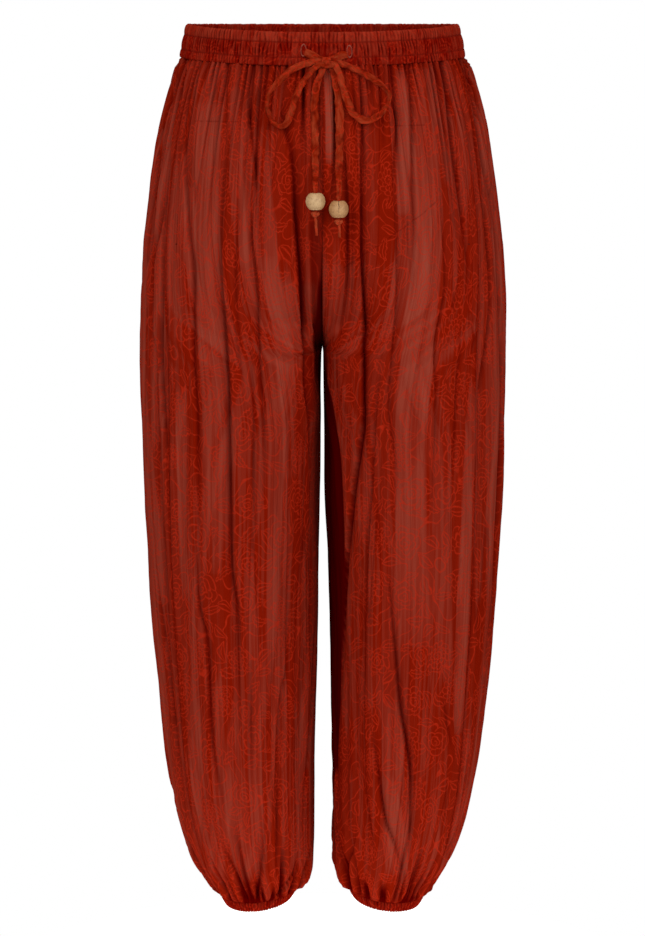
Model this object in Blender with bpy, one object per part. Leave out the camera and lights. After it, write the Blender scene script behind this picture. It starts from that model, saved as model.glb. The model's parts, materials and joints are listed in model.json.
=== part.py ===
"""Harem pants, hollow and filled out: gathered waist casing, four leg panels, two ankle
cuffs, two pocket bags, and a drawstring tied in a bow with a bead on each end.

Lengths are in millimetres here and become metres in `solid`, `flat_cord` and
`rounded_block`. +Z is up, the front faces -Y, and +X is the wearer's left. The origin is
the middle of the waist, about half way up the casing.
"""

import math
from collections import namedtuple

import bmesh
import bpy
from mathutils import Vector

MM = 0.001

# ---- Driving sizes ----
SEAM_GAP = 0.3           # space between two pieces where they are sewn together
CLOTH = 1.6              # wall of a leg panel, across the ring
CASING_WALL = 3.0        # waist casing with its elastic
CASING_HEIGHT = 33.0
CASING_TOP = 17.0        # height of the casing's top edge at the back
FRONT_DIP = 8.5          # how far the waistline drops at the centre front
DIP_SHARPNESS = 1.4      # how closely that drop keeps to the centre front
DIP_END, DIP_START = -105.0, -16.0   # the panels follow the drop above the one, fully at the other
CROTCH_TOP = -190.0      # where the centre seams begin to curve inwards
CROTCH = -325.0          # where they meet the inseams
CROTCH_REACH = 0.22      # share of the half ring that the crotch's curve bends, at either end
LEG_START = -180.0       # the body's oval turns into two legs between these heights
LEG_FULL = -430.0
TURNING_FULLNESS = 0.5   # extra depth half way through that turn, which would look pinched
THICKEST_ACROSS = 2.2    # most that a leaning wall is thickened when measured level
CUFF_CENTRE = 71.0       # each cuff's middle from the centre seam
CUFF_HALF_WIDTH = 41.5
CUFF_HALF_DEPTH = 46.0
CUFF_HEIGHT = 12.0
CUFF_TOP = -930.8
CUFF_WALL = 2.6
CUFF_TILT = 4.0          # the front and outer side hang this much low, the others high
TILT_START, TILT_END = -850.0, -920.0   # heights between which the panels take up that tilt
CORD_WIDTH = 9.0         # drawstring, folded flat
CORD_THICKNESS = 2.4
BEAD_WIDTH = 20.3
BEAD_HEIGHT = 18.8
BEAD_BORE = 5.4
BEAD_FLAT_END = math.radians(66.0)   # latitude where the bead's round side meets its flat end
BEAD_SIDES = 18
BEAD_RINGS = 8

# ---- Gathers: one is a crest and a trough ----
FRONT_GATHERS = 12       # along the top of each front panel
BACK_GATHERS = 24        # along the top of each back panel
CASING_GATHERS = 90      # shirring right round the casing
CUFF_GATHERS = 18        # right round each cuff, and along the bottom of each leg

# ---- Outline: how far the cloth reaches from the origin's axes, by height ----
Section = namedtuple("Section", "z outer front back inner")
SECTIONS = (
    Section(-16.0, 152.0, 106.0, 108.0, 0.3),
    Section(-27.0, 157.0, 109.0, 112.0, 0.3),
    Section(-47.0, 163.5, 112.0, 117.0, 0.3),
    Section(-95.0, 177.0, 117.0, 127.0, 0.3),
    Section(-159.0, 188.0, 120.0, 135.0, 0.3),
    Section(-223.0, 194.0, 119.5, 135.0, 0.3),
    Section(-288.0, 197.7, 117.0, 129.0, 0.3),
    Section(-353.0, 198.3, 115.0, 121.0, 1.1),
    Section(-452.0, 196.0, 112.0, 116.0, 3.3),
    Section(-585.0, 190.6, 109.0, 112.0, 5.5),
    Section(-719.0, 179.6, 105.0, 108.0, 8.0),
    Section(-787.0, 172.0, 101.0, 105.0, 9.9),
    Section(-855.0, 158.5, 94.0, 98.0, 11.0),
    Section(-890.0, 146.6, 86.0, 90.0, 12.0),
    Section(-907.0, 138.0, 78.0, 82.0, 12.8),
    Section(-918.0, 132.0, 71.0, 74.0, 14.5),
    Section(-926.0, 127.0, 63.0, 65.0, 17.0),
    Section(-930.5, 114.0, 48.0, 48.0, 28.0),
)

# Share of the half ring that the front panel takes, by height: the side seam's place.
SideSeam = namedtuple("SideSeam", "z share")
SIDE_SEAM = (
    SideSeam(-16.0, 0.335),
    SideSeam(-190.0, 0.325),
    SideSeam(-450.0, 0.366),
    SideSeam(-719.0, 0.375),
    SideSeam(-930.5, 0.390),
)

# ---- Rows of the leg panels: nominal heights ----
GATHER_ROWS = (-16.0, -28.0, -45.0, -72.0, -105.0)
HIP_ROWS = (-150.0, CROTCH_TOP)
CROTCH_STEPS = (0.34, 0.62, 0.82, 0.93, 0.985, 1.0)   # shares of the way to the crotch
LEG_ROWS = (-365.0, -430.0, -505.0, -580.0, -655.0, -730.0, -792.0, -843.0,
            -882.0, -910.0, -925.0, -930.5)

# ---- Depth of the small gathers, by height ----
Depth = namedtuple("Depth", "z depth")
WAIST_GATHER_DEPTHS = (Depth(-16.0, 3.0), Depth(-28.0, 3.6), Depth(-45.0, 3.0),
                       Depth(-72.0, 1.8), Depth(-105.0, 0.0))
CUFF_GATHER_DEPTHS = (Depth(-790.0, 0.0), Depth(-845.0, 4.0), Depth(-905.0, 8.5),
                      Depth(-926.0, 6.0), Depth(-930.5, 2.0))

# ---- Main folds of each panel: the column that the trough follows, counted from the
# centre seam on a front and from the side seam on a back, and where it starts and ends.
Fold = namedtuple("Fold", "column top bottom depth")
FOLDS = {
    "front_right": (Fold(1, -40, -330, 6.0), Fold(3, -85, -600, 7.0), Fold(5, -55, -250, 4.5),
                    Fold(7, -140, -720, 6.5), Fold(9, -60, -340, 5.0), Fold(11, -25, -215, 8.5)),
    "front_left": (Fold(1, -45, -290, 5.0), Fold(3, -40, -400, 8.0), Fold(5, -120, -560, 4.5),
                   Fold(7, -60, -270, 5.0), Fold(9, -190, -780, 7.0), Fold(11, -35, -280, 6.5)),
    "back_right": (Fold(1, -60, -420, 6.0), Fold(3, -45, -230, 4.5), Fold(5, -120, -640, 7.0),
                   Fold(7, -50, -300, 5.0), Fold(9, -90, -520, 6.0), Fold(11, -45, -240, 5.0),
                   Fold(13, -150, -740, 8.0), Fold(15, -55, -330, 5.0), Fold(17, -90, -480, 6.0),
                   Fold(19, -45, -260, 5.0), Fold(21, -110, -600, 6.5), Fold(23, -50, -310, 4.5)),
    "back_left": (Fold(1, -45, -350, 5.0), Fold(3, -95, -560, 6.5), Fold(5, -50, -260, 5.0),
                  Fold(7, -130, -700, 7.5), Fold(9, -45, -310, 5.0), Fold(11, -80, -450, 6.0),
                  Fold(13, -50, -240, 4.5), Fold(15, -110, -660, 7.5), Fold(17, -45, -290, 5.0),
                  Fold(19, -95, -540, 6.0), Fold(21, -55, -270, 5.0), Fold(23, -75, -380, 5.0)),
}
FOLD_FULLNESS = 0.7      # below 1 a fold reaches its depth soon after its end
COLUMN_SPREAD = 0.2      # how unevenly the columns stand, as a share of their spacing
COLUMN_RHYTHM = 2.4      # radians of that unevenness from one column to the next
GATHER_UNEVENNESS = 0.2  # share of a waist gather's depth that varies
GATHER_RHYTHM = 5.0      # radians of that variation from one column to the next

# ---- Waist casing: three channels between rows of stitching, bottom to top ----
CasingRow = namedtuple("CasingRow", "share puff gather")
CASING_ROWS = (
    CasingRow(0.00, 0.0, 0.6),
    CasingRow(0.12, 1.4, 1.0),
    CasingRow(0.24, 0.0, 0.5),
    CasingRow(0.47, 2.0, 1.3),
    CasingRow(0.70, 0.0, 0.5),
    CasingRow(0.86, 1.6, 1.2),
    CasingRow(1.00, 0.2, 0.8),
)
CASING_TOP_HALF_WIDTH = 145.0
CASING_TOP_FRONT = 101.0
CASING_TOP_BACK = 103.0

# ---- Cuff: puffed between its two edges, bottom to top ----
CuffRow = namedtuple("CuffRow", "share puff gather")
CUFF_ROWS = (CuffRow(0.0, 0.0, 1.2), CuffRow(0.5, 1.0, 1.8), CuffRow(1.0, 0.0, 1.2))

# ---- Pocket bags: the part of each front panel's grid that they lie behind ----
POCKET_COLUMNS = (6, 12)
POCKET_ROWS = (4, 10)
POCKET_CLEARANCE = 0.5
POCKET_CLOTH = 1.1

# ---- Drawstring: x, y and z of its route points ----
KNOT_CENTRE = (4.9, -112.0, -20.4)
KNOT_SIZE = (11.0, 9.4, 8.6)
KNOT_ROUNDING = 2.0
LEAD_LEFT = ((25.4, -105.6, -13.0), (22.0, -106.6, -14.0), (18.0, -107.8, -15.6),
             (14.4, -109.0, -17.3), (12.2, -109.6, -17.8), (10.7, -109.6, -17.8))
LEAD_RIGHT = ((-18.3, -106.3, -11.6), (-15.0, -106.9, -12.6), (-10.0, -108.0, -14.7),
              (-5.0, -109.2, -17.2), (-2.4, -109.6, -17.8), (-0.9, -109.6, -17.8))
LOOP_LEFT = ((10.7, -112.6, -20.6), (12.7, -112.6, -20.6), (21.0, -113.0, -23.2),
             (34.0, -113.4, -28.6), (50.0, -114.2, -37.4), (62.0, -115.2, -46.0),
             (68.8, -116.2, -54.6), (67.2, -117.2, -64.0), (59.0, -118.2, -74.6),
             (48.6, -119.0, -80.8), (38.2, -119.2, -78.8), (30.2, -119.2, -70.6),
             (24.2, -119.0, -57.0), (19.4, -118.4, -41.0), (16.0, -117.2, -29.4),
             (12.7, -115.7, -24.0), (10.7, -115.7, -24.0))
LOOP_RIGHT = ((-0.9, -112.6, -20.6), (-2.9, -112.6, -20.6), (-10.0, -112.8, -21.0),
              (-21.0, -113.0, -23.6), (-33.0, -113.4, -29.6), (-44.6, -114.4, -40.0),
              (-54.4, -115.8, -52.4), (-56.8, -117.2, -66.0), (-53.4, -118.2, -78.6),
              (-44.6, -119.0, -86.4), (-36.6, -119.2, -82.6), (-32.0, -119.2, -71.6),
              (-27.4, -119.0, -57.6), (-20.8, -118.4, -43.0), (-11.4, -117.4, -30.4),
              (-2.9, -115.7, -24.0), (-0.9, -115.7, -24.0))
TAIL_LEFT = ((9.4, -111.4, -25.2), (9.4, -111.4, -27.0), (11.0, -112.4, -33.0),
             (14.6, -114.6, -48.0), (17.2, -117.0, -66.0), (17.8, -119.2, -88.0),
             (17.2, -121.2, -112.0), (16.7, -124.2, -136.0), (16.7, -129.4, -153.0),
             (16.7, -131.0, -159.4), (16.7, -131.0, -161.4))
TAIL_RIGHT = ((0.4, -111.4, -25.2), (0.4, -111.4, -27.0), (-1.6, -112.4, -33.0),
              (-6.2, -114.4, -45.0), (-8.4, -116.8, -63.0), (-8.0, -119.2, -84.0),
              (-7.4, -121.0, -106.0), (-7.2, -124.0, -128.0), (-7.2, -129.2, -145.0),
              (-7.2, -130.8, -151.5), (-7.2, -130.8, -153.5))
LEAD_RADII = (0.85, 0.6)          # width at the eyelet and at the knot, as shares
LOOP_RADII = (0.6, 0.6)
TAIL_RADII = (0.6, 0.44)          # the tail narrows to go through its bead
FACING_FRONT = math.pi / 2.0      # turn that lays a hanging tail's flat side on the cloth
BEAD_LEFT = (16.7, -131.0, -171.3)
BEAD_RIGHT = (-7.2, -130.8, -163.4)
END_KNOT_SIZE = (9.0, 7.0, 5.4)
END_KNOT_ROUNDING = 1.6
STRING_END = (3.4, 1.4)           # width and thickness below the end knot
STRING_END_LENGTHS = {"left": 14.0, "right": 20.0}
STRING_END_DRIFT = (1.2, 1.5)     # how far its tip hangs to the left and back of the knot
LOOP_STEP = 7.0                   # spacing of a cord's points where it bends
TAIL_STEP = 12.0                  # and where it hangs
NARROWING = 3.0                   # points over which a cord narrows towards its end
ROUTE_FINENESS = 16               # steps of the smooth curve from one route point to the next

CLOTH_COLOUR = (0.238, 0.014, 0.005, 1.0)
CASING_COLOUR = (0.205, 0.011, 0.004, 1.0)
CORD_COLOUR = (0.262, 0.018, 0.007, 1.0)
WOOD_COLOUR = (0.565, 0.319, 0.159, 1.0)


def material(name, colour, roughness):
    """A Principled material with one colour and roughness."""
    made = bpy.data.materials.new(name)
    made.use_nodes = True
    shader = made.node_tree.nodes["Principled BSDF"]
    shader.inputs["Base Color"].default_value = colour
    shader.inputs["Roughness"].default_value = roughness
    shader.inputs["Metallic"].default_value = 0.0
    return made


def solid(name, points, faces, finish):
    """One closed mesh object, with its faces turned outwards."""
    mesh = bpy.data.meshes.new(name)
    mesh.from_pydata([Vector(p) * MM for p in points], [], faces)
    shape = bmesh.new()
    shape.from_mesh(mesh)
    bmesh.ops.recalc_face_normals(shape, faces=shape.faces)
    shape.to_mesh(mesh)
    shape.free()
    mesh.shade_smooth()
    mesh.materials.append(finish)
    made = bpy.data.objects.new(name, mesh)
    bpy.context.scene.collection.objects.link(made)
    return made


def smooth(share):
    """0 to 1 with level ends."""
    share = min(max(share, 0.0), 1.0)
    return share * share * (3.0 - 2.0 * share)


def read(table, column, z):
    """A table's column at a height, on a smooth curve through its rows."""
    rows = [(row.z, getattr(row, column)) for row in table]
    if z >= rows[0][0]:
        return rows[0][1]
    if z <= rows[-1][0]:
        return rows[-1][1]
    slopes = [(b[1] - a[1]) / (b[0] - a[0]) for a, b in zip(rows, rows[1:])]
    index = next(i for i in range(len(slopes)) if z >= rows[i + 1][0])

    def tangent(i):
        if i in (0, len(slopes)):
            return slopes[min(i, len(slopes) - 1)]
        before, after = slopes[i - 1], slopes[i]
        if before * after <= 0.0:
            return 0.0
        return 2.0 * before * after / (before + after)

    (z0, v0), (z1, v1) = rows[index], rows[index + 1]
    span = z1 - z0
    t = (z - z0) / span
    return ((2 * t**3 - 3 * t**2 + 1) * v0 + (t**3 - 2 * t**2 + t) * span * tangent(index)
            + (3 * t**2 - 2 * t**3) * v1 + (t**3 - t**2) * span * tangent(index + 1))


def edge_share(s):
    """1 at the centre seams and inseam, 0 away from them. s runs 0 front, 1 back."""
    return 1.0 - smooth(min(s, 1.0 - s) / CROTCH_REACH)


def general_share(z):
    """How far the ring has turned from the body's half oval into a leg's own ring."""
    return smooth((LEG_START - z) / (LEG_START - LEG_FULL))


def leg_share(s, z):
    """The same turn at one place round the ring: its edges follow the crotch's curve."""
    drop = min(max((CROTCH_TOP - z) / (CROTCH_TOP - CROTCH), 0.0), 1.0)
    corner = 1.0 - math.sqrt(1.0 - drop ** 2)
    near = edge_share(s)
    return near * corner + (1.0 - near) * general_share(z)


def ring_point(s, z):
    """x and y on the left half's outer surface; s is the share round it from the front."""
    outer, inner = read(SECTIONS, "outer", z), read(SECTIONS, "inner", z)
    turned = general_share(z)
    depth = read(SECTIONS, "front" if s < 0.5 else "back", z)
    depth *= 1.0 + TURNING_FULLNESS * turned * (1.0 - turned)
    body = (outer * math.sin(math.pi * s), -depth * math.cos(math.pi * s))
    turn = 2.0 * math.pi * s
    leg = ((outer + inner) / 2.0 - (outer - inner) / 2.0 * math.cos(turn),
           -depth * math.sin(turn))
    share = leg_share(s, z)
    return tuple(start + (end - start) * share for start, end in zip(body, leg))


def ring_direction(s, z):
    """The unit direction along the ring, towards the back."""
    step = 0.002
    a, b = ring_point(max(s - step, 0.0), z), ring_point(min(s + step, 1.0), z)
    length = math.hypot(b[0] - a[0], b[1] - a[1])
    return (b[0] - a[0]) / length, (b[1] - a[1]) / length


def wall_across(s, z, cloth):
    """The wall measured level, thicker where the surface leans, so that it stays cloth thick."""
    step = 1.5
    along = ring_direction(s, z)
    high, low = ring_point(s, z + step), ring_point(s, z - step)
    lean = abs((high[0] - low[0]) * along[1] - (high[1] - low[1]) * along[0]) / (2.0 * step)
    return cloth * min(math.hypot(1.0, lean), THICKEST_ACROSS)


def waist_dip(s):
    """How far the waistline lies below its level at the sides and back."""
    return -FRONT_DIP * max(math.cos(math.pi * s), 0.0) ** DIP_SHARPNESS


def cuff_tilt(s):
    """The cuff's plane: low at the front and outside, high at the back and inside."""
    turn = 2.0 * math.pi * s
    return CUFF_TILT * (math.cos(turn) - math.sin(turn))


def lift(s, z):
    """How far a nominal height moves, near the waist and near the cuff."""
    waist = smooth((z - DIP_END) / (DIP_START - DIP_END)) * waist_dip(s)
    cuff = smooth((z - TILT_START) / (TILT_END - TILT_START)) * cuff_tilt(s)
    return waist + cuff


def row_heights():
    """Nominal heights of the panel rows: at the centre seams, and away from them."""
    steps = [CROTCH_TOP + step * (CROTCH - CROTCH_TOP) for step in CROTCH_STEPS]
    at_seam = list(GATHER_ROWS + HIP_ROWS) + steps + list(LEG_ROWS)
    first = len(GATHER_ROWS + HIP_ROWS)
    count = len(steps) + 1
    away = list(at_seam)
    for index in range(1, count):
        away[first - 1 + index] = CROTCH_TOP + (LEG_ROWS[0] - CROTCH_TOP) * index / count
    return at_seam, away


def fold_depth(folds, column, z):
    """Depth of the main fold whose trough follows this column."""
    for fold in folds:
        if fold.column == column and fold.bottom < z < fold.top:
            along = (fold.top - z) / (fold.top - fold.bottom)
            return fold.depth * math.sin(math.pi * along) ** FOLD_FULLNESS
    return 0.0


def ring_share(name, position, count, z):
    """Where a panel's column stands round the ring: unevenly spaced between its two seams."""
    drift = COLUMN_SPREAD * math.sin(COLUMN_RHYTHM * position + count)
    fade = smooth(min(position, count - position) / 2.0)
    share = (position + drift * fade) / count
    seam = read(SIDE_SEAM, "share", z)
    return seam * share if name.startswith("front") else seam + (1.0 - seam) * share


def panel_point(name, position, count, z):
    """A point on a left panel's outer face: its ring share, place, outward direction and the
    level thickness of one unit of cloth there."""
    s = ring_share(name, position, count, z)
    along = ring_direction(s, z)
    outward = (along[1], -along[0])
    x, y = ring_point(s, z)
    # A panel stops half a seam gap short of its neighbour.
    inset = {0: SEAM_GAP / 2.0, count: -SEAM_GAP / 2.0}.get(position, 0.0)
    x, y = x + along[0] * inset, y + along[1] * inset

    whole = int(position)
    if position == whole:
        depth = fold_depth(FOLDS[name], whole, z)
        if whole % 2:
            depth += read(CUFF_GATHER_DEPTHS, "depth", z)
    else:
        beside = max(fold_depth(FOLDS[name], whole, z), fold_depth(FOLDS[name], whole + 1, z))
        uneven = 1.0 + GATHER_UNEVENNESS * (math.sin(GATHER_RHYTHM * position + count) - 1.0)
        depth = beside / 2.0 + uneven * read(WAIST_GATHER_DEPTHS, "depth", z)
    across = wall_across(s, z, 1.0)
    return s, (x - outward[0] * depth, y - outward[1] * depth), outward, across


def panel_grid(name, inward):
    """Rows of points on a panel, moved inwards by a share of cloth; half-column rows on top."""
    count = FRONT_GATHERS if name.startswith("front") else BACK_GATHERS
    side = 1.0 if name.endswith("left") else -1.0
    at_seam, away = row_heights()
    rows = []
    for index, (seam_z, away_z) in enumerate(zip(at_seam, away)):
        steps = 2 if index < len(GATHER_ROWS) else 1
        row = []
        for number in range(count * steps + 1):
            position = number / steps
            s = ring_share(name, position, count, away_z)
            z = away_z + (seam_z - away_z) * edge_share(s)
            s, (x, y), outward, across = panel_point(name, position, count, z)
            x -= outward[0] * inward * across
            y -= outward[1] * inward * across
            row.append((side * max(x, SEAM_GAP / 2.0), y, z + lift(s, z)))
        rows.append(row)
    return rows


def stitch_rows(upper, lower):
    """Triangles between two rows of point numbers; the upper row may be twice as fine."""
    faces = []
    if len(upper) == len(lower):
        for j in range(len(upper) - 1):
            faces += [(upper[j], lower[j], lower[j + 1]), (upper[j], lower[j + 1], upper[j + 1])]
        return faces
    for j in range(len(lower) - 1):
        a, b, c = upper[2 * j:2 * j + 3]
        faces += [(a, lower[j], b), (b, lower[j], lower[j + 1]), (b, lower[j + 1], c)]
    return faces


def wall(name, outer, inner, finish):
    """A closed sheet of cloth between two grids of the same shape."""
    points, numbers = [], []
    for grid in (outer, inner):
        side = []
        for row in grid:
            side.append(list(range(len(points), len(points) + len(row))))
            points += row
        numbers.append(side)
    faces = []
    front, back = numbers
    for upper, lower in zip(front, front[1:]):
        faces += stitch_rows(upper, lower)
    for upper, lower in zip(back, back[1:]):
        faces += [face[::-1] for face in stitch_rows(upper, lower)]
    for last in (0, -1):
        faces += stitch_rows([row[last] for row in front], [row[last] for row in back])
        faces += stitch_rows(front[last], back[last])
    return solid(name, points, faces, finish)


def turned(name, loops, finish):
    """A closed ring: loops of points joined one to the next, and the last to the first."""
    count = len(loops[0])
    points = [point for loop in loops for point in loop]
    faces = []
    for i in range(len(loops)):
        here, there = i * count, (i + 1) % len(loops) * count
        for j in range(count):
            k = (j + 1) % count
            faces += [(here + j, here + k, there + k), (here + j, there + k, there + j)]
    return solid(name, points, faces, finish)


def leg_panels(finish):
    """Front and back of each leg, from the waist seam to the cuff seam."""
    for name in FOLDS:
        wall(name, panel_grid(name, 0.0), panel_grid(name, CLOTH), finish)


def pocket_bags(finish):
    """A bag behind each front panel at the side seam, from the panel's own points."""
    near, far = CLOTH + POCKET_CLEARANCE, CLOTH + POCKET_CLEARANCE + POCKET_CLOTH
    first, last = POCKET_ROWS
    left, right = POCKET_COLUMNS
    for side in ("left", "right"):
        grids = []
        for inward in (near, far):
            rows = panel_grid("front_" + side, inward)
            rows[first] = rows[first][::2]
            grids.append([row[left:right + 1] for row in rows[first:last + 1]])
        wall("pocket_" + side, *grids, finish)


def waist_casing(finish):
    """The elastic casing: three puffed, shirred channels outside, plain inside."""
    columns = 2 * CASING_GATHERS

    def loop(share, outwards, gather):
        made = []
        for j in range(columns):
            turn = 2.0 * math.pi * j / columns
            s = abs(turn / math.pi if turn <= math.pi else 2.0 - turn / math.pi)
            side = "front" if s < 0.5 else "back"
            top = CASING_TOP_FRONT if side == "front" else CASING_TOP_BACK
            wide = read(SECTIONS, "outer", GATHER_ROWS[0])
            deep = read(SECTIONS, side, GATHER_ROWS[0])
            half_width = wide + (CASING_TOP_HALF_WIDTH - wide) * share
            half_depth = deep + (top - deep) * share
            reach = outwards - (gather if j % 2 else 0.0)
            x = (half_width + reach) * math.sin(turn)
            y = -(half_depth + reach) * math.cos(turn)
            z = CASING_TOP - CASING_HEIGHT * (1.0 - share) + waist_dip(s)
            made.append((x, y, z + (SEAM_GAP if share == 0.0 else 0.0)))
        return made

    loops = [loop(row.share, row.puff, row.gather) for row in CASING_ROWS]
    loops += [loop(share, -CASING_WALL, 0.0) for share in (1.0, 0.0)]
    turned("waist_casing", loops, finish)


def cuffs(finish):
    """The elastic hem of each leg: a narrow gathered ring, plain inside."""
    columns = 2 * CUFF_GATHERS

    def loop(side, share, outwards, gather):
        made = []
        for j in range(columns):
            s = j / columns
            turn = 2.0 * math.pi * s
            reach = outwards - (gather if j % 2 else 0.0)
            x = CUFF_CENTRE - (CUFF_HALF_WIDTH + reach) * math.cos(turn)
            y = -(CUFF_HALF_DEPTH + reach) * math.sin(turn)
            z = CUFF_TOP - CUFF_HEIGHT * (1.0 - share) + cuff_tilt(s)
            made.append((side * x, y, z))
        return made

    for name, side in (("cuff_left", 1.0), ("cuff_right", -1.0)):
        loops = [loop(side, row.share, row.puff, row.gather) for row in CUFF_ROWS]
        loops += [loop(side, share, -CUFF_WALL, 0.0) for share in (1.0, 0.0)]
        turned(name, loops, finish)


def smooth_route(points, spacing):
    """Evenly spaced points on a smooth curve through a route, straight at both ends."""
    knots = [Vector(p) for p in points]
    fine = []
    for a, b, c, d in zip(knots, knots[1:], knots[2:], knots[3:]):
        for step in range(ROUTE_FINENESS):
            t = step / ROUTE_FINENESS
            fine.append(0.5 * (2 * b + (c - a) * t + (2 * a - 5 * b + 4 * c - d) * t**2
                               + (3 * b - a - 3 * c + d) * t**3))
    fine.append(knots[-2])
    travelled = [0.0]
    for a, b in zip(fine, fine[1:]):
        travelled.append(travelled[-1] + (b - a).length)
    count = max(round(travelled[-1] / spacing), 2)
    route = [knots[0]]
    for number in range(count + 1):
        target = travelled[-1] * number / count
        route.append(fine[min(range(len(fine)), key=lambda i: abs(travelled[i] - target))])
    return route + [knots[-1]]


def flat_cord(name, route, spacing, width, thickness, radii, finish, turn):
    """A flat cord along a route, narrowed over its last stretch at each end."""
    points = smooth_route(route, spacing)
    curve = bpy.data.curves.new(name, "CURVE")
    curve.dimensions = "3D"
    curve.bevel_depth = thickness / 2.0 * MM
    curve.extrude = (width - thickness) / 2.0 * MM
    curve.bevel_resolution = 2
    curve.use_fill_caps = True
    curve.twist_mode = "MINIMUM"
    spline = curve.splines.new("POLY")
    spline.points.add(len(points) - 1)
    for index, (point, place) in enumerate(zip(spline.points, points)):
        from_start = smooth(index / NARROWING)
        from_end = smooth((len(points) - 1 - index) / NARROWING)
        point.co = (*(place * MM), 1.0)
        point.radius = min(radii[0] + (1.0 - radii[0]) * from_start,
                           radii[1] + (1.0 - radii[1]) * from_end)
        point.tilt = turn
    curve.materials.append(finish)
    made = bpy.data.objects.new(name, curve)
    bpy.context.scene.collection.objects.link(made)
    return made


def rounded_block(name, centre, size, rounding, finish):
    """A block with rounded edges."""
    shape = bmesh.new()
    bmesh.ops.create_cube(shape, size=1.0)
    bmesh.ops.scale(shape, vec=Vector(size) * MM, verts=shape.verts)
    bmesh.ops.bevel(shape, geom=shape.edges[:] + shape.verts[:], offset=rounding * MM,
                    segments=2, profile=0.5, affect="EDGES")
    bmesh.ops.triangulate(shape, faces=shape.faces)
    mesh = bpy.data.meshes.new(name)
    shape.to_mesh(mesh)
    shape.free()
    mesh.materials.append(finish)
    made = bpy.data.objects.new(name, mesh)
    made.location = Vector(centre) * MM
    bpy.context.scene.collection.objects.link(made)
    return made


def bead(name, centre, finish):
    """A round wooden bead with flattened ends and a bore."""
    bore = BEAD_BORE / 2.0
    profile = [(bore, -BEAD_HEIGHT / 2.0)]
    for ring in range(BEAD_RINGS):
        angle = BEAD_FLAT_END * (2.0 * ring / (BEAD_RINGS - 1) - 1.0)
        height = BEAD_HEIGHT / 2.0 * math.sin(angle) / math.sin(BEAD_FLAT_END)
        profile.append((BEAD_WIDTH / 2.0 * math.cos(angle), height))
    profile.append((bore, BEAD_HEIGHT / 2.0))
    turns = [2.0 * math.pi * j / BEAD_SIDES for j in range(BEAD_SIDES)]
    loops = [[(centre[0] + radius * math.cos(turn), centre[1] + radius * math.sin(turn),
               centre[2] + height) for turn in turns] for radius, height in profile]
    turned(name, loops, finish)


def drawstring(cloth, wood):
    """The tied drawstring: two leads, a bow knot, two loops, two tails with their beads."""
    rounded_block("bow_knot", KNOT_CENTRE, KNOT_SIZE, KNOT_ROUNDING, cloth)
    for name, route, spacing, radii, turn in (
            ("drawstring_lead_left", LEAD_LEFT, LOOP_STEP, LEAD_RADII, 0.0),
            ("drawstring_lead_right", LEAD_RIGHT, LOOP_STEP, LEAD_RADII, 0.0),
            ("bow_loop_left", LOOP_LEFT, LOOP_STEP, LOOP_RADII, 0.0),
            ("bow_loop_right", LOOP_RIGHT, LOOP_STEP, LOOP_RADII, 0.0),
            ("drawstring_tail_left", TAIL_LEFT, TAIL_STEP, TAIL_RADII, FACING_FRONT),
            ("drawstring_tail_right", TAIL_RIGHT, TAIL_STEP, TAIL_RADII, FACING_FRONT)):
        flat_cord(name, route, spacing, CORD_WIDTH, CORD_THICKNESS, radii, cloth, turn)

    for side, centre in (("left", BEAD_LEFT), ("right", BEAD_RIGHT)):
        bead("bead_" + side, centre, wood)
        knot_z = centre[2] - BEAD_HEIGHT / 2.0 - SEAM_GAP - END_KNOT_SIZE[2] / 2.0
        rounded_block("end_knot_" + side, (centre[0], centre[1], knot_z), END_KNOT_SIZE,
                      END_KNOT_ROUNDING, cloth)
        start = knot_z - END_KNOT_SIZE[2] / 2.0 - SEAM_GAP
        route = [(centre[0] + STRING_END_DRIFT[0] * share, centre[1] + STRING_END_DRIFT[1] * share,
                  start - STRING_END_LENGTHS[side] * share)
                 for share in (0.0, 1.0 / 3.0, 2.0 / 3.0, 1.0)]
        flat_cord("drawstring_end_" + side, route, LOOP_STEP, *STRING_END, (1.0, 1.0), cloth,
                  FACING_FRONT)


def main():
    """Clear the scene and build every piece."""
    for old in list(bpy.data.objects):
        bpy.data.objects.remove(old)
    cloth = material("viscose_crepe", CLOTH_COLOUR, 0.85)
    casing = material("shirred_viscose", CASING_COLOUR, 0.85)
    cord = material("drawstring_cloth", CORD_COLOUR, 0.85)
    wood = material("bead_wood", WOOD_COLOUR, 0.6)
    leg_panels(cloth)
    pocket_bags(cloth)
    waist_casing(casing)
    cuffs(casing)
    drawstring(cord, wood)


main()
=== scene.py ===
"""Looks of the harem pants: printed crepe, shirred casing, ankle cuffs, drawstring and beads.

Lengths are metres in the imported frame. +Z is up, the front faces -Y, and left is the wearer's
left, at +X. Heights on the cloth are nominal: the waist's dip and the cuffs' tilt move them.
"""

import json
import logging
import math
from collections.abc import Callable
from dataclasses import dataclass, field
from enum import Enum
from functools import partial

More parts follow.
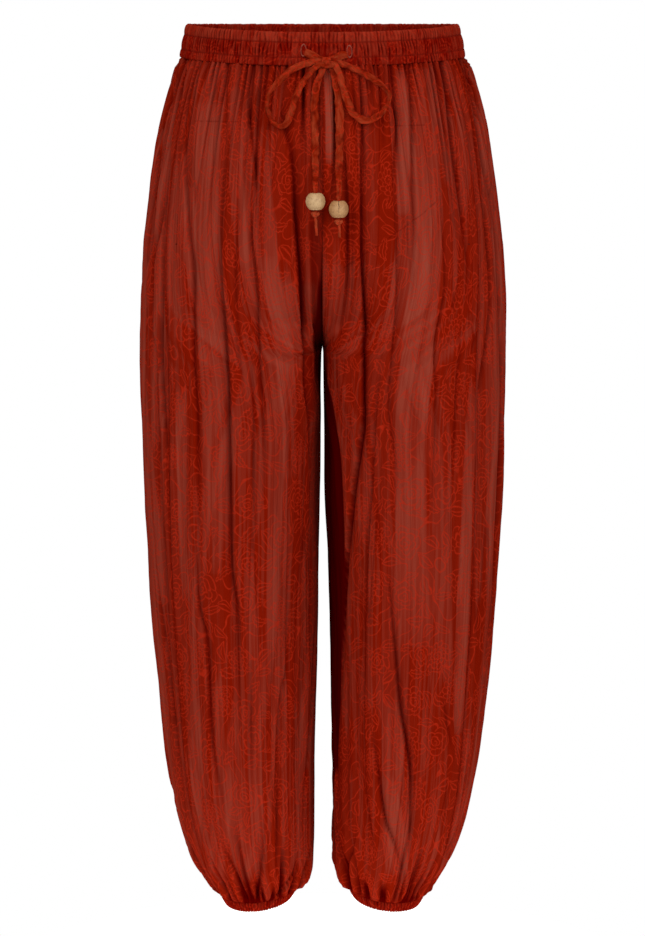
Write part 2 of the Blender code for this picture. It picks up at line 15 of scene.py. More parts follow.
import bpy
import numpy as np
from mathutils import Vector
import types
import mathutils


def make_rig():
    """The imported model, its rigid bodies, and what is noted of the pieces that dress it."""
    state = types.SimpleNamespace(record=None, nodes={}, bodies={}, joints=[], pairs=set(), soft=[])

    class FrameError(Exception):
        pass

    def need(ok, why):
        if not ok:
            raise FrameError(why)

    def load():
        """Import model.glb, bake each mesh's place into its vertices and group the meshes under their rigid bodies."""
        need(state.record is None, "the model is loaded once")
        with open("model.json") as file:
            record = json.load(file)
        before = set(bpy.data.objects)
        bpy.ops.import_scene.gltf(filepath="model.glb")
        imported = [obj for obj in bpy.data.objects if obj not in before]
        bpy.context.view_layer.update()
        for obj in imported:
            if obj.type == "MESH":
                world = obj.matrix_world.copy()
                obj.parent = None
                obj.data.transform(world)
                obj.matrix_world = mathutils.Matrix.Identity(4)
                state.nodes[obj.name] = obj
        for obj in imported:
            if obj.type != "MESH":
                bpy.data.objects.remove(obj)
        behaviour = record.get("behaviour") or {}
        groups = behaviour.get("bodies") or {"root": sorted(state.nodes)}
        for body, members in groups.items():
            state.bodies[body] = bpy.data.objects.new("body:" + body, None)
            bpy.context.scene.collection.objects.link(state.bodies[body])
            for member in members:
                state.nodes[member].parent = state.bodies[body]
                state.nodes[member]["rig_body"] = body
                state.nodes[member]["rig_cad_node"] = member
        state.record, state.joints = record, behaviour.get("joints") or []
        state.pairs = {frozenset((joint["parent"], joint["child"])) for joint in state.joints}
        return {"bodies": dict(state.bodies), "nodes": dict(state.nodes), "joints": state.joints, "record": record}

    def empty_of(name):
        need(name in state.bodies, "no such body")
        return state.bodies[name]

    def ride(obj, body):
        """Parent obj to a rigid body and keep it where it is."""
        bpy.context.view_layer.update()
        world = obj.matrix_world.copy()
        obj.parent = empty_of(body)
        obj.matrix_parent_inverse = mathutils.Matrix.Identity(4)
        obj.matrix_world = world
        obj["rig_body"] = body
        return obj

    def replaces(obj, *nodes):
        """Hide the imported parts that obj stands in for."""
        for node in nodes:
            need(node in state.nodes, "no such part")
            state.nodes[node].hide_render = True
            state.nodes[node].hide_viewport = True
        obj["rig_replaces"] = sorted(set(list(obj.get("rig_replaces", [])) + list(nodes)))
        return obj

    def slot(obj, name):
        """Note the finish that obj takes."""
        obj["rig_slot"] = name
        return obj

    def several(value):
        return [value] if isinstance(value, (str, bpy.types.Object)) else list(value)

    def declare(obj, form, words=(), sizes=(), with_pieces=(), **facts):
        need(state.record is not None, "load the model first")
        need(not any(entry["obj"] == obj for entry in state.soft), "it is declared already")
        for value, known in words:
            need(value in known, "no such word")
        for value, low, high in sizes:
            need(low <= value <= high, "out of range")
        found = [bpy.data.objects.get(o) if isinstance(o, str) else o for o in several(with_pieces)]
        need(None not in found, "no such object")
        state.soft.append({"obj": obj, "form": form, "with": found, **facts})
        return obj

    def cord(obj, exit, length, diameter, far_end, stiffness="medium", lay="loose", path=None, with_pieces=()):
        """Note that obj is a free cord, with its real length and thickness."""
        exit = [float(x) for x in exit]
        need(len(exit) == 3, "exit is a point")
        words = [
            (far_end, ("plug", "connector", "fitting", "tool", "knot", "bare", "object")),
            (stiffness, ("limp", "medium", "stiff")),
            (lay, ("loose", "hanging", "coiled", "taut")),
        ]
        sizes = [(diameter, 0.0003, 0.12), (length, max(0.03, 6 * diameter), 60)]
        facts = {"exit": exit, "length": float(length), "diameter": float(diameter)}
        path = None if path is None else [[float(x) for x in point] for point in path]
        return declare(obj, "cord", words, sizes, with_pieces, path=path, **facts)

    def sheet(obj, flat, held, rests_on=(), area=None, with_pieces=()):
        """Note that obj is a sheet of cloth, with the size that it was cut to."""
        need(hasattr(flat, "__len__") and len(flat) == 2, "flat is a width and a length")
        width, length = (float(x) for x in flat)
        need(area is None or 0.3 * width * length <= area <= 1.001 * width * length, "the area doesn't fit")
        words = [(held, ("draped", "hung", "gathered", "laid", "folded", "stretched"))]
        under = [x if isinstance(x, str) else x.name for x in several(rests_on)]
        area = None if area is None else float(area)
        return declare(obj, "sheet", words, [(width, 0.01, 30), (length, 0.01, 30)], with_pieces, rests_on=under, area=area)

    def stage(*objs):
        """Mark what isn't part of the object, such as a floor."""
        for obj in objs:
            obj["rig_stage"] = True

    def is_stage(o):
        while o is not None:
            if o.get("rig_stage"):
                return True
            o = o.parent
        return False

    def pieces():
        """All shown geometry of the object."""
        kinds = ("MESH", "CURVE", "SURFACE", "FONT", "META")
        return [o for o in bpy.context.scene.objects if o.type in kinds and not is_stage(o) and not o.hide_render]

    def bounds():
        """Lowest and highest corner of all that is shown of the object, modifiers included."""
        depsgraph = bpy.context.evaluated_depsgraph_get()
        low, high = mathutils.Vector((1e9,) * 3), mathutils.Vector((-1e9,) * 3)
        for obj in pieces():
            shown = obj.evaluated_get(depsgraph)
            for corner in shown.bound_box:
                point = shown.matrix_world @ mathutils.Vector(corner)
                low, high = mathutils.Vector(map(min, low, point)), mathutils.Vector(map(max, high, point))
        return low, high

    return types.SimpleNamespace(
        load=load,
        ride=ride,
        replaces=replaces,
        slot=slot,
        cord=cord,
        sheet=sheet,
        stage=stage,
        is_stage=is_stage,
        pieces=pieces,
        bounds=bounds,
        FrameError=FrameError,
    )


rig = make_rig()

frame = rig.load()
CAD_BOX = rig.bounds()

LOG = logging.getLogger("harem_pants")
SIZE_FILE = "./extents.json"
BODY = "root"
FRONT = np.array((0.0, -1.0, 0.0))
TURN = 2.0 * math.pi

Pair = tuple[float, float]
Triple = tuple[float, float, float]
Place = Triple
# A route down a panel: millimetres below the waist and percent across in turn, top down.
Route = tuple[float, ...]
Array = np.ndarray
# A ring of a wall: its places, the shade painted on them, deepest in folds, and the way to it in heights.
Ring = tuple[Array, Array, float]
Piece = bpy.types.Object
Material = bpy.types.Material
Node = bpy.types.Node
Add = Callable[..., Node]


class Side(Enum):
    """The wearer's side; the value is the sign of X."""

    LEFT = 1.0
    RIGHT = -1.0

    @property
    def word(self) -> str:
        """The side, as names have it."""
        return self.name.lower()


class Face(Enum):
    """Which panel of a leg."""

    FRONT = "front"
    BACK = "back"


class Lap(Enum):
    """Which edge of a crease is the sharp one; the other falls away slowly."""

    NONE = 0.0
    OUTER = 1.0
    INNER = -1.0


# Numbers


def clip(share: Array) -> Array:
    """A share, kept within 0 and 1."""
    return np.clip(share, 0, 1)


def smooth(share: Array) -> Array:
    """0 to 1 with level ends."""
    share = clip(share)
    return share * share * (3 - 2 * share)


def ramp(value: Array, start: float, end: float) -> Array:
    """0 up to start and 1 from end on, smooth between; end may be the lower one."""
    return smooth((value - start) / (end - start))


def plateau(value: Array, edges: tuple[float, ...]) -> Array:
    """1 between the middle two of four edges and 0 outside the outer two."""
    return ramp(value, edges[0], edges[1]) * ramp(value, edges[3], edges[2])


def mix(start: Array, end: Array, share: Array) -> Array:
    """The value that lies a share of the way from start to end."""
    return start + (end - start) * share


def peak(off: Array, width: float) -> Array:
    """1 at 0, falling away to both sides."""
    return np.exp(-(off / width) ** 2)


def unit(vectors: Array) -> Array:
    """Vectors of length 1 along the last axis."""
    return vectors / np.linalg.norm(vectors, axis=-1, keepdims=True)


def squared(wave: Array, power: float) -> Array:
    """A wave with flatter crests."""
    return np.sign(wave) * np.abs(wave) ** power


def angles(count: int) -> Array:
    """Evenly spaced angles round a circle."""
    return np.arange(count) * TURN / count


def travelled(path: Array) -> Array:
    """Length along a path at each of its points."""
    return np.concatenate(([0], np.cumsum(np.linalg.norm(np.diff(path, axis=0), axis=1))))


def random_share(i: Array, j: Array, seed: int) -> Array:
    """A fixed number for each pair of whole numbers.

    Args:
        i: Whole numbers.
        j: Whole numbers.
        seed: Picks one family.

    Returns:
        Numbers from 0 to 1.
    """
    mixed = (np.asarray(i, np.int64) * 374761393 + np.asarray(j, np.int64) * 668265263
             + seed * 1274126177) & 0xFFFFFFFF
    mixed = ((mixed ^ (mixed >> 13)) * 1103515245) & 0xFFFFFFFF
    mixed = ((mixed ^ (mixed >> 16)) * 2246822519) & 0xFFFFFFFF
    return (mixed ^ (mixed >> 15)) / 0xFFFFFFFF


def ripple(x: Array, y: Array, seed: int) -> Array:
    """A smooth uneven surface, with one hill or dip a unit.

    Args:
        x: First coordinates.
        y: Second coordinates.
        seed: Picks one surface.

    Returns:
        Heights from -1 to 1.
    """
    left, low = np.floor(x), np.floor(y)
    across, up = smooth(x - left), smooth(y - low)
    i, j = left.astype(np.int64), low.astype(np.int64)
    lower, upper = (random_share(i, j + row, seed) * (1 - across)
                    + random_share(i + 1, j + row, seed) * across for row in (0, 1))
    return 2 * (lower * (1 - up) + upper * up) - 1


@dataclass(frozen=True)
class Uneven:
    """Soft unevenness: its strength, and the spacing of its hills in both directions."""

    strength: float
    spacing: Pair
    seed: int = 0
    shift: float = 0

    def at(self, x: Array, y: Array, seed: int = 0) -> Array:
        """The unevenness at places on a plane; seed tells one piece from another."""
        wide, long = self.spacing
        return self.strength * ripple(x / wide, y / long + self.shift, seed + self.seed)


def profile(points: tuple[Pair, ...], z: Array) -> Array:
    """A value down the garment, on a smooth curve through points from the top down.

    Args:
        points: Heights with their values.
        z: Heights.

    Returns:
        The value at each height of z.
    """
    heights, values = np.array(points).T
    slopes = np.diff(values) / np.diff(heights)
    before, after = slopes[:-1], slopes[1:]
    turns = before * after <= 0
    inner = np.where(turns, 0, 2 * before * after / np.where(turns, 1, before + after))
    tangents = np.concatenate((slopes[:1], inner, slopes[-1:]))
    z = np.clip(z, heights[-1], heights[0])
    i = np.clip(np.searchsorted(-heights, -z, side="right") - 1, 0, len(slopes) - 1)
    span = heights[i + 1] - heights[i]
    t = (z - heights[i]) / span
    return ((2 * t**3 - 3 * t**2 + 1) * values[i] + (t**3 - 2 * t**2 + t) * span * tangents[i]
            + (3 * t**2 - 2 * t**3) * values[i + 1] + (t**3 - t**2) * span * tangents[i + 1])


# The garment's form


@dataclass(frozen=True)
class GarmentForm:
    """The smooth form that the cloth follows. s runs round one half, 0 front to 1 back."""

    columns: tuple[str, ...] = ("outer", "front", "back", "inner")
    # Half of the garment in mm: a height, then the reach to the side, front, back and inseam.
    sections: tuple[tuple[float, ...], ...] = (
        (-16, 152, 106, 108, 0.3), (-27, 157, 109, 112, 0.3), (-47, 163.5, 112, 117, 0.3),
        (-95, 177, 117, 127, 0.3), (-159, 188, 120, 135, 0.3), (-223, 195.5, 119.5, 135, 0.3),
        (-288, 198.5, 117, 129, 0.3), (-353, 198.3, 115, 121, 1.1), (-452, 195, 112, 116, 3.5),
        (-585, 189, 109, 112, 6.4), (-719, 178, 105, 108, 9), (-787, 170.5, 101, 105, 11),
        (-855, 156.2, 94, 98, 12.2), (-890, 144, 86, 90, 12.6), (-907, 133.5, 78, 82, 12.8),
        (-918, 127, 71, 74, 14.5), (-926, 123, 63, 65, 17), (-930.5, 114, 48, 48, 28))
    side_seam: tuple[Pair, ...] = (
        (-0.016, 0.335), (-0.19, 0.325), (-0.45, 0.366), (-0.719, 0.375), (-0.9305, 0.39))
    crotch_top: float = -0.19
    crotch: float = -0.325
    crotch_reach: float = 0.22
    leg_heights: Pair = (-0.18, -0.43)
    turning_fullness: float = 0.5
    front_dip: float = 0.0085
    dip_sharpness: float = 1.4
    dip_heights: Pair = (-0.105, -0.016)
    # Below the crotch the inner front hangs this far in front of the legs' turn.
    hang: float = 0.032
    hang_heights: tuple[float, ...] = (-0.29, -0.325, -0.348, -0.44)
    hang_shares: tuple[float, ...] = (0, 0.03, 0.06, 0.2)
    cuff_tilt: float = 0.004
    tilt_heights: Pair = (-0.85, -0.92)

    def reach(self, name: str, z: Array) -> Array:
        """One of the section's reaches at each height."""
        column = 1 + self.columns.index(name)
        return profile(tuple((row[0] / 1000, row[column] / 1000) for row in self.sections), z)

    def near_seam(self, s: Array) -> Array:
        """1 at the centre seams and inseam, 0 away from them."""
        return 1 - smooth(np.minimum(s, 1 - s) / self.crotch_reach)

    def point(self, s: Array, z: Array) -> tuple[Array, Array]:
        """x and y on the left half.

        Args:
            s: Shares round the half, 0 at the front.
            z: Nominal heights.

        Returns:
            x and y.
        """
        outer, inner = self.reach("outer", z), self.reach("inner", z)
        turned = ramp(z, *self.leg_heights)
        depth = np.where(s < 0.5, self.reach("front", z), self.reach("back", z))
        depth = depth * (1 + self.turning_fullness * turned * (1 - turned))
        drop = clip((self.crotch_top - z) / (self.crotch_top - self.crotch))
        near = self.near_seam(s)
        share = mix(turned, 1 - np.sqrt(1 - drop**2), near)
        body_x, body_y = outer * np.sin(np.pi * s), -depth * np.cos(np.pi * s)
        leg_x = (outer + inner) / 2 - (outer - inner) / 2 * np.cos(TURN * s)
        leg_y = -depth * np.sin(TURN * s)
        forward = self.hang * plateau(z, self.hang_heights) * plateau(s, self.hang_shares)
        return mix(body_x, leg_x, share), mix(body_y, leg_y, share) - forward

    def outward(self, s: Array, z: Array) -> tuple[Array, Array]:
        """The level direction away from the left half's surface.

        Args:
            s: Shares round the half.
            z: Nominal heights.

        Returns:
            Its x and y.
        """
        step = 0.002
        x0, y0 = self.point(np.maximum(s - step, 0), z)
        x1, y1 = self.point(np.minimum(s + step, 1), z)
        length = np.hypot(x1 - x0, y1 - y0)
        return (y1 - y0) / length, -(x1 - x0) / length

    def waist_dip(self, s: Array) -> Array:
        """How far the waistline lies below its level at the sides and back."""
        return -self.front_dip * np.maximum(np.cos(np.pi * s), 0) ** self.dip_sharpness

    def tilt(self, s: Array) -> Array:
        """The cuff's plane: low at the front and outside."""
        return self.cuff_tilt * (np.cos(TURN * s) - np.sin(TURN * s))

    def lift(self, s: Array, z: Array) -> Array:
        """How far a nominal height moves, near the waist and near the cuff."""
        return (ramp(z, *self.dip_heights) * self.waist_dip(s)
                + ramp(z, *self.tilt_heights) * self.tilt(s))


FORM = GarmentForm()


# Meshes


def make_object(name: str, points: Array, faces: Array) -> Piece:
    """A smoothly shaded mesh object at the origin.

    Args:
        name: Its name.
        points: One row of three a point.
        faces: One row of point numbers a face.

    Returns:
        The new object.
    """
    mesh = bpy.data.meshes.new(name)
    mesh.from_pydata(points.tolist(), [], faces.tolist())
    mesh.polygons.foreach_set("use_smooth", [True] * len(mesh.polygons))
    mesh.update()
    made = bpy.data.objects.new(name, mesh)
    bpy.context.scene.collection.objects.link(made)
    return made


def make_cloth(name: str, points: Array, flat: tuple[Array, Array], sheer: Array | float,
               hollow: Array | float, closed: bool = False, flip: bool = False) -> Piece:
    """A mesh over a grid of points, with the map and the values that its material reads.

    Args:
        name: Its name.
        points: Rows x columns x 3.
        flat: Both coordinates on flat cloth.
        sheer: How much light is painted on the cloth, as if it showed through.
        hollow: Shade painted on each point, deepest in folds.
        closed: Whether the last column joins the first.
        flip: Whether the faces are turned over.

    Returns:
        The new object.
    """
    rows, columns = points.shape[:2]
    row, column = np.mgrid[:rows - 1, :columns - (not closed)]
    beside = (column + 1) % columns
    corners = [row * columns + column, (row + 1) * columns + column,
               (row + 1) * columns + beside, row * columns + beside]
    faces = np.stack([c.ravel() for c in (corners[::-1] if flip else corners)], axis=1)
    made = make_object(name, points.reshape(-1, 3), faces)
    places = np.stack([np.broadcast_to(part, (rows, columns)) for part in flat], axis=2)
    layer = made.data.uv_layers.new(name="cloth")
    layer.data.foreach_set("uv", places.reshape(-1, 2)[faces].astype(np.float32).ravel())
    # Painted light and painted shade, which the material reads.
    for attribute, values in (("sheer", sheer), ("hollow", hollow)):
        layer = made.data.attributes.new(attribute, "FLOAT", "POINT")
        values = np.broadcast_to(values, (rows, columns))
        layer.data.foreach_set("value", values.astype(np.float32).ravel())
    return made


def sweep(path: Array, across: Array, facing: Array, x: Array, z: Array) -> Array:
    """Moves a section along a path, with x across it and z along facing."""
    return path[:, None] + across[:, None] * x[..., None] + facing[:, None] * z[..., None]


def edit(piece: Piece, **steps: dict[str, float]) -> None:
    """Runs operators of edit mode on a whole piece.

    Args:
        piece: The mesh object.
        steps: Operators of bpy.ops.mesh in order, each with its settings.
    """
    pick(piece)
    bpy.ops.object.mode_set(mode="EDIT")
    bpy.ops.mesh.select_all(action="SELECT")
    for operator, settings in steps.items():
        getattr(bpy.ops.mesh, operator)(**settings)
    bpy.ops.object.mode_set(mode="OBJECT")


def pick(*pieces: Piece) -> None:
    """Selects only these pieces.

    Args:
        pieces: The pieces; the last is active.
    """
    bpy.ops.object.select_all(action="DESELECT")
    for piece in pieces:
        piece.select_set(True)
        bpy.context.view_layer.objects.active = piece


def apply_modifier(piece: Piece, kind: str, **settings: float) -> None:
    """Adds a modifier with its settings and applies it.

    Args:
        piece: The mesh object.
        kind: The modifier's type.
        settings: Its properties.
    """
    pick(piece)
    modifier = piece.modifiers.new(kind.lower(), kind)
    for name, value in settings.items():
        setattr(modifier, name, value)
    bpy.ops.object.modifier_apply(modifier=modifier.name)


def close_ends(piece: Piece) -> None:
    """Fills both ends of a tube and turns its faces outwards."""
    edit(piece, fill_holes={"sides": 0}, normals_make_consistent={"inside": False})


def dress(piece: Piece, material: Material, slot: str, *stands_for: str) -> Piece:
    """Finishes a piece: its material, slot and body, and the nodes that it stands for.

    Args:
        piece: The finished piece.
        material: Its material.
        slot: The record's slot for it.
        stands_for: CAD nodes.

    Returns:
        The piece.
    """
    piece.data.materials.clear()
    piece.data.materials.append(material)
    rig.slot(piece, slot)
    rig.ride(piece, BODY)
    if stands_for:
        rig.replaces(piece, *stands_for)
    LOG.info("%s: %d faces", piece.name, len(piece.data.polygons))
    return piece


# Materials


def linear(colour: str) -> tuple[float, float, float, float]:
    """An sRGB hex colour as linear red, green, blue and alpha."""
    parts = [int(colour[i:i + 2], 16) / 255 for i in (1, 3, 5)]
    return (*(c / 12.92 if c <= 0.04045 else ((c + 0.055) / 1.055) ** 2.4 for c in parts), 1)


def node(tree: bpy.types.NodeTree, kind: str | Node, *values: object, **named: object) -> Node:
    """Adds a node with its settings, values and links, or fills one that is there.

    Args:
        tree: The material's node tree.
        kind: A node to fill, a new one's type, or Math operations in turn, in capitals. ADD,
            MULTIPLY and MAXIMUM take any number of values.
        values: Values, hex colours, sockets or nodes, in the order of the sockets in use.
        named: The same by name, with _ for a space; settings are in lower case.

    Returns:
        The node, which gives another node its first socket in use.
    """
    if isinstance(kind, str) and kind.isupper():
        kind, *later = kind.split()
        while kind in ("ADD", "MULTIPLY", "MAXIMUM") and len(values) > 2:
            values = (node(tree, kind, *values[:2]), *values[2:])
        made = node(tree, "Math", *values, operation=kind, **named)
        for operation in later:
            made = node(tree, operation, made)
        return made
    made = tree.nodes.new("ShaderNode" + kind) if isinstance(kind, str) else kind
    for name in [name for name in named if name.islower()]:
        setattr(made, name, named.pop(name))
    inputs = list(zip((socket for socket in made.inputs if socket.enabled), values))
    inputs += [(made.inputs[name.replace("_", " ")], value) for name, value in named.items()]
    for socket, value in inputs:
        if isinstance(value, Node):
            value = next(output for output in value.outputs if output.enabled)
        if isinstance(value, bpy.types.NodeSocket):
            tree.links.new(value, socket)
        else:
            socket.default_value = linear(value) if isinstance(value, str) else value
    return made


def new_material(name: str) -> tuple[Material, Add, Node]:
    """Starts a material.

    Args:
        name: Its name.

    Returns:
        The material, what adds nodes to it, and its Principled shader.
    """
    made = bpy.data.materials.new(name)
    made.use_nodes = True
    return made, partial(node, made.node_tree), made.node_tree.nodes["Principled BSDF"]


FLAT = {"noise_dimensions": "2D"}
COLOURS = {"data_type": "RGBA"}
# A wave texture of this scale has about one band a millimetre.
WAVE_SCALE = 50


@dataclass(frozen=True)
class FlowerPrint:
    """An all-over line print of full flowers, leaves and stems. Sizes are millimetres."""

    add: Add
    flower_spacing: float = 55
    flower_unevenness: float = 0.62
    flower_radius: Pair = (12.5, 19)
    # Each ring's share of the flower's reach, its petals, its lobes' depth and its turn.
    rings: tuple[tuple[float, ...], ...] = (
        (1, 5, 0.2, 0.3), (0.64, 4, 0.26, 1.4), (0.34, 3, 0.26, 0.8))
    ring_depth: float = 0.66
    petal_roundness: float = 0.55
    petal_lean: float = 0.55
    # A flower with a chance above this is a fringed one, with so many more petals.
    fringed_from: float = 0.62
    fringe_petals: float = 6
    more_petals: float = 2.99
    side_line: float = 0.8
    heart: float = 0.2
    spiral_pitch: float = 4.6
    leaf_spacing: float = 25
    leaf_unevenness: float = 0.7
    leaf_half_length: float = 11
    leaf_half_width: float = 4.8
    leaf_bend: float = 3
    leaf_teeth: float = 15
    tooth: float = 0.6
    rib: float = 0.75
    outline_reach: float = 1.08
    rib_reach: float = 0.78
    past_flower: Pair = (1.03, 1.09)
    past_leaf: Pair = (0.8, 1.6)
    stem_spacing: float = 38
    stem_steps: float = 4.6
    # How much wider a step of the noise is than an even share of its spacing.
    step_width: float = 1.6
    stem: float = 0.9
    line: float = 1.55
    wander: float = 12
    wander_spacing: float = 26

    def stroke(self, distance: Node, width: float = 1) -> Node:
        """A soft-edged line where a distance in millimetres is near 0; width is in lines."""
        half = self.line * width / 2
        return self.add("MapRange", distance, half * 0.55, half * 1.35, 1, 0)

    def scatter(self, place: Node, spacing: float, unevenness: float) -> tuple[Node, object]:
        """Scatters motifs.

        Args:
            place: The place on flat cloth.
            spacing: Distance between motifs.
            unevenness: How far they leave an even grid, from 0 to 1.

        Returns:
            The way from the nearest motif's centre, and that motif's chances.
        """
        add = self.add
        cells = add("TexVoronoi", Vector=place, Scale=1 / spacing, Randomness=unevenness,
                    voronoi_dimensions="2D")
        way = add("VectorMath", place, cells.outputs["Position"], operation="SUBTRACT")
        return way, add("SeparateColor", cells.outputs["Color"]).outputs

    def flowers(self, place: Node) -> tuple[Node, Node]:
        """Draws roses of scalloped rings round a spiral, and fringed flowers.

        Args:
            place: The place on flat cloth.

        Returns:
            The lines, and each place's share of the flower's radius.
        """
        add = self.add
        way, chance = self.scatter(place, self.flower_spacing, self.flower_unevenness)
        distance = add("VectorMath", way, operation="LENGTH")
        x, y, _ = add("SeparateXYZ", way).outputs
        angle = add("ARCTAN2", y, x)
        low, high = self.flower_radius
        radius = add("MULTIPLY_ADD", chance["Green"], high - low, low)
        reach = add("DIVIDE", distance, radius)
        fringed = add("GREATER_THAN", chance["Blue"], self.fringed_from)
        more = add("MULTIPLY FLOOR", chance["Red"], self.more_petals)
        extra = add("MULTIPLY_ADD", fringed, self.fringe_petals, more)
        spin = add("MULTIPLY", chance["Blue"], TURN)
        # Each petal's side strokes lean round the flower, as petals overlap.
        leaning = add("MULTIPLY_ADD", reach, self.petal_lean, angle)
        turns = add("MULTIPLY", angle, 1 / TURN)
        wound = add("MULTIPLY_ADD FRACT", distance, 1 / self.spiral_pitch, turns)
        wound = add("MULTIPLY", add("SUBTRACT ABSOLUTE", wound, 0.5), self.spiral_pitch)
        lines = add("MULTIPLY", add("LESS_THAN", reach, self.heart), self.stroke(wound, 0.9))
        for share, petals, lobe, turn in self.rings:
            half_turn = add("MULTIPLY", add("ADD", extra, petals), 0.5)
            start = add("ADD", spin, turn)
            swing = add("MULTIPLY_ADD SINE ABSOLUTE", leaning, half_turn, start)
            edge = add("MULTIPLY_ADD", add("POWER", swing, self.petal_roundness),
                       share * lobe, share * (1 - lobe))
            off = add("MULTIPLY", add("SUBTRACT ABSOLUTE", reach, edge), radius)
            across = add("DIVIDE", add("MULTIPLY", swing, distance), half_turn)
            side = add("MULTIPLY", self.stroke(across, self.side_line),
                       add("LESS_THAN", reach, edge),
                       add("GREATER_THAN", reach, share * self.ring_depth))
            lines = add("MAXIMUM", lines, self.stroke(off), side)
        return lines, reach

    def leaves(self, place: Node) -> tuple[Node, Node]:
        """Draws bent leaves with a rib and teeth, turned every way.

        Args:
            place: The place on flat cloth.

        Returns:
            The lines, and the distance outside the leaf.
        """
        add = self.add
        way, chance = self.scatter(place, self.leaf_spacing, self.leaf_unevenness)
        turned = add("VectorRotate", Vector=way, rotation_type="Z_AXIS",
                     Angle=add("MULTIPLY", chance["Red"], TURN))
        x, y, _ = add("SeparateXYZ", turned).outputs
        along = add("MULTIPLY", x, 1 / self.leaf_half_length)
        squared = add("MULTIPLY", along, along)
        bent = add("MULTIPLY_ADD", squared, -self.leaf_bend, y)
        beside = add("ADD ABSOLUTE", bent, 1)
        width = add("MULTIPLY_ADD", squared, -self.leaf_half_width, self.leaf_half_width)
        teeth = add("MULTIPLY", add("MULTIPLY SINE", along, self.leaf_teeth),
                    add("GREATER_THAN", chance["Green"], 0.5))
        width = add("MULTIPLY_ADD", teeth, self.tooth, width)
        outside = add("SUBTRACT", beside, width)
        length = add("ABSOLUTE", along)
        outline = add("MULTIPLY", self.stroke(add("ABSOLUTE", outside)),
                      add("LESS_THAN", length, self.outline_reach))
        rib = add("MULTIPLY", self.stroke(beside, self.rib),
                  add("LESS_THAN", length, self.rib_reach))
        return add("MAXIMUM", outline, rib), outside

    def stems(self, place: Node) -> Node:
        """Draws curving stems: the level lines of a soft noise.

        Args:
            place: The place on flat cloth.

        Returns:
            The lines.
        """
        add = self.add
        noise = add("TexNoise", Vector=place, Scale=1 / self.stem_spacing, Detail=0, **FLAT)
        steps = add("MULTIPLY FRACT", noise, self.stem_steps)
        step = self.stem_spacing / self.stem_steps * self.step_width
        off = add("MULTIPLY", add("SUBTRACT ABSOLUTE", steps, 0.5), step)
        return self.stroke(off, self.stem)

    def lines(self, cloth: Node) -> Node:
        """Draws the whole print.

        Args:
            cloth: The place on flat cloth, in metres.

        Returns:
            1 on a printed line and 0 off it.
        """
        add = self.add
        place = add("VectorMath", cloth, Scale=1000, operation="SCALE")
        noise = add("TexNoise", Vector=place, Scale=1 / self.wander_spacing, Detail=1.5, **FLAT)
        shift = add("VectorMath", noise.outputs["Color"], (0.5, 0.5, 0.5), operation="SUBTRACT")
        shift = add("VectorMath", shift, Scale=self.wander, operation="SCALE")
        drawn = add("VectorMath", place, shift, operation="ADD")
        drawn = add("VectorMath", drawn, (1, 1, 0), operation="MULTIPLY")
        flowers, reach = self.flowers(drawn)
        leaves, outside = self.leaves(drawn)
        past_flower = add("MapRange", reach, *self.past_flower, 0, 1)
        past_leaf = add("MapRange", outside, *self.past_leaf, 0, 1)
        return add("MAXIMUM", flowers, add("MULTIPLY", leaves, past_flower),
                   add("MULTIPLY", self.stems(drawn), past_flower, past_leaf))


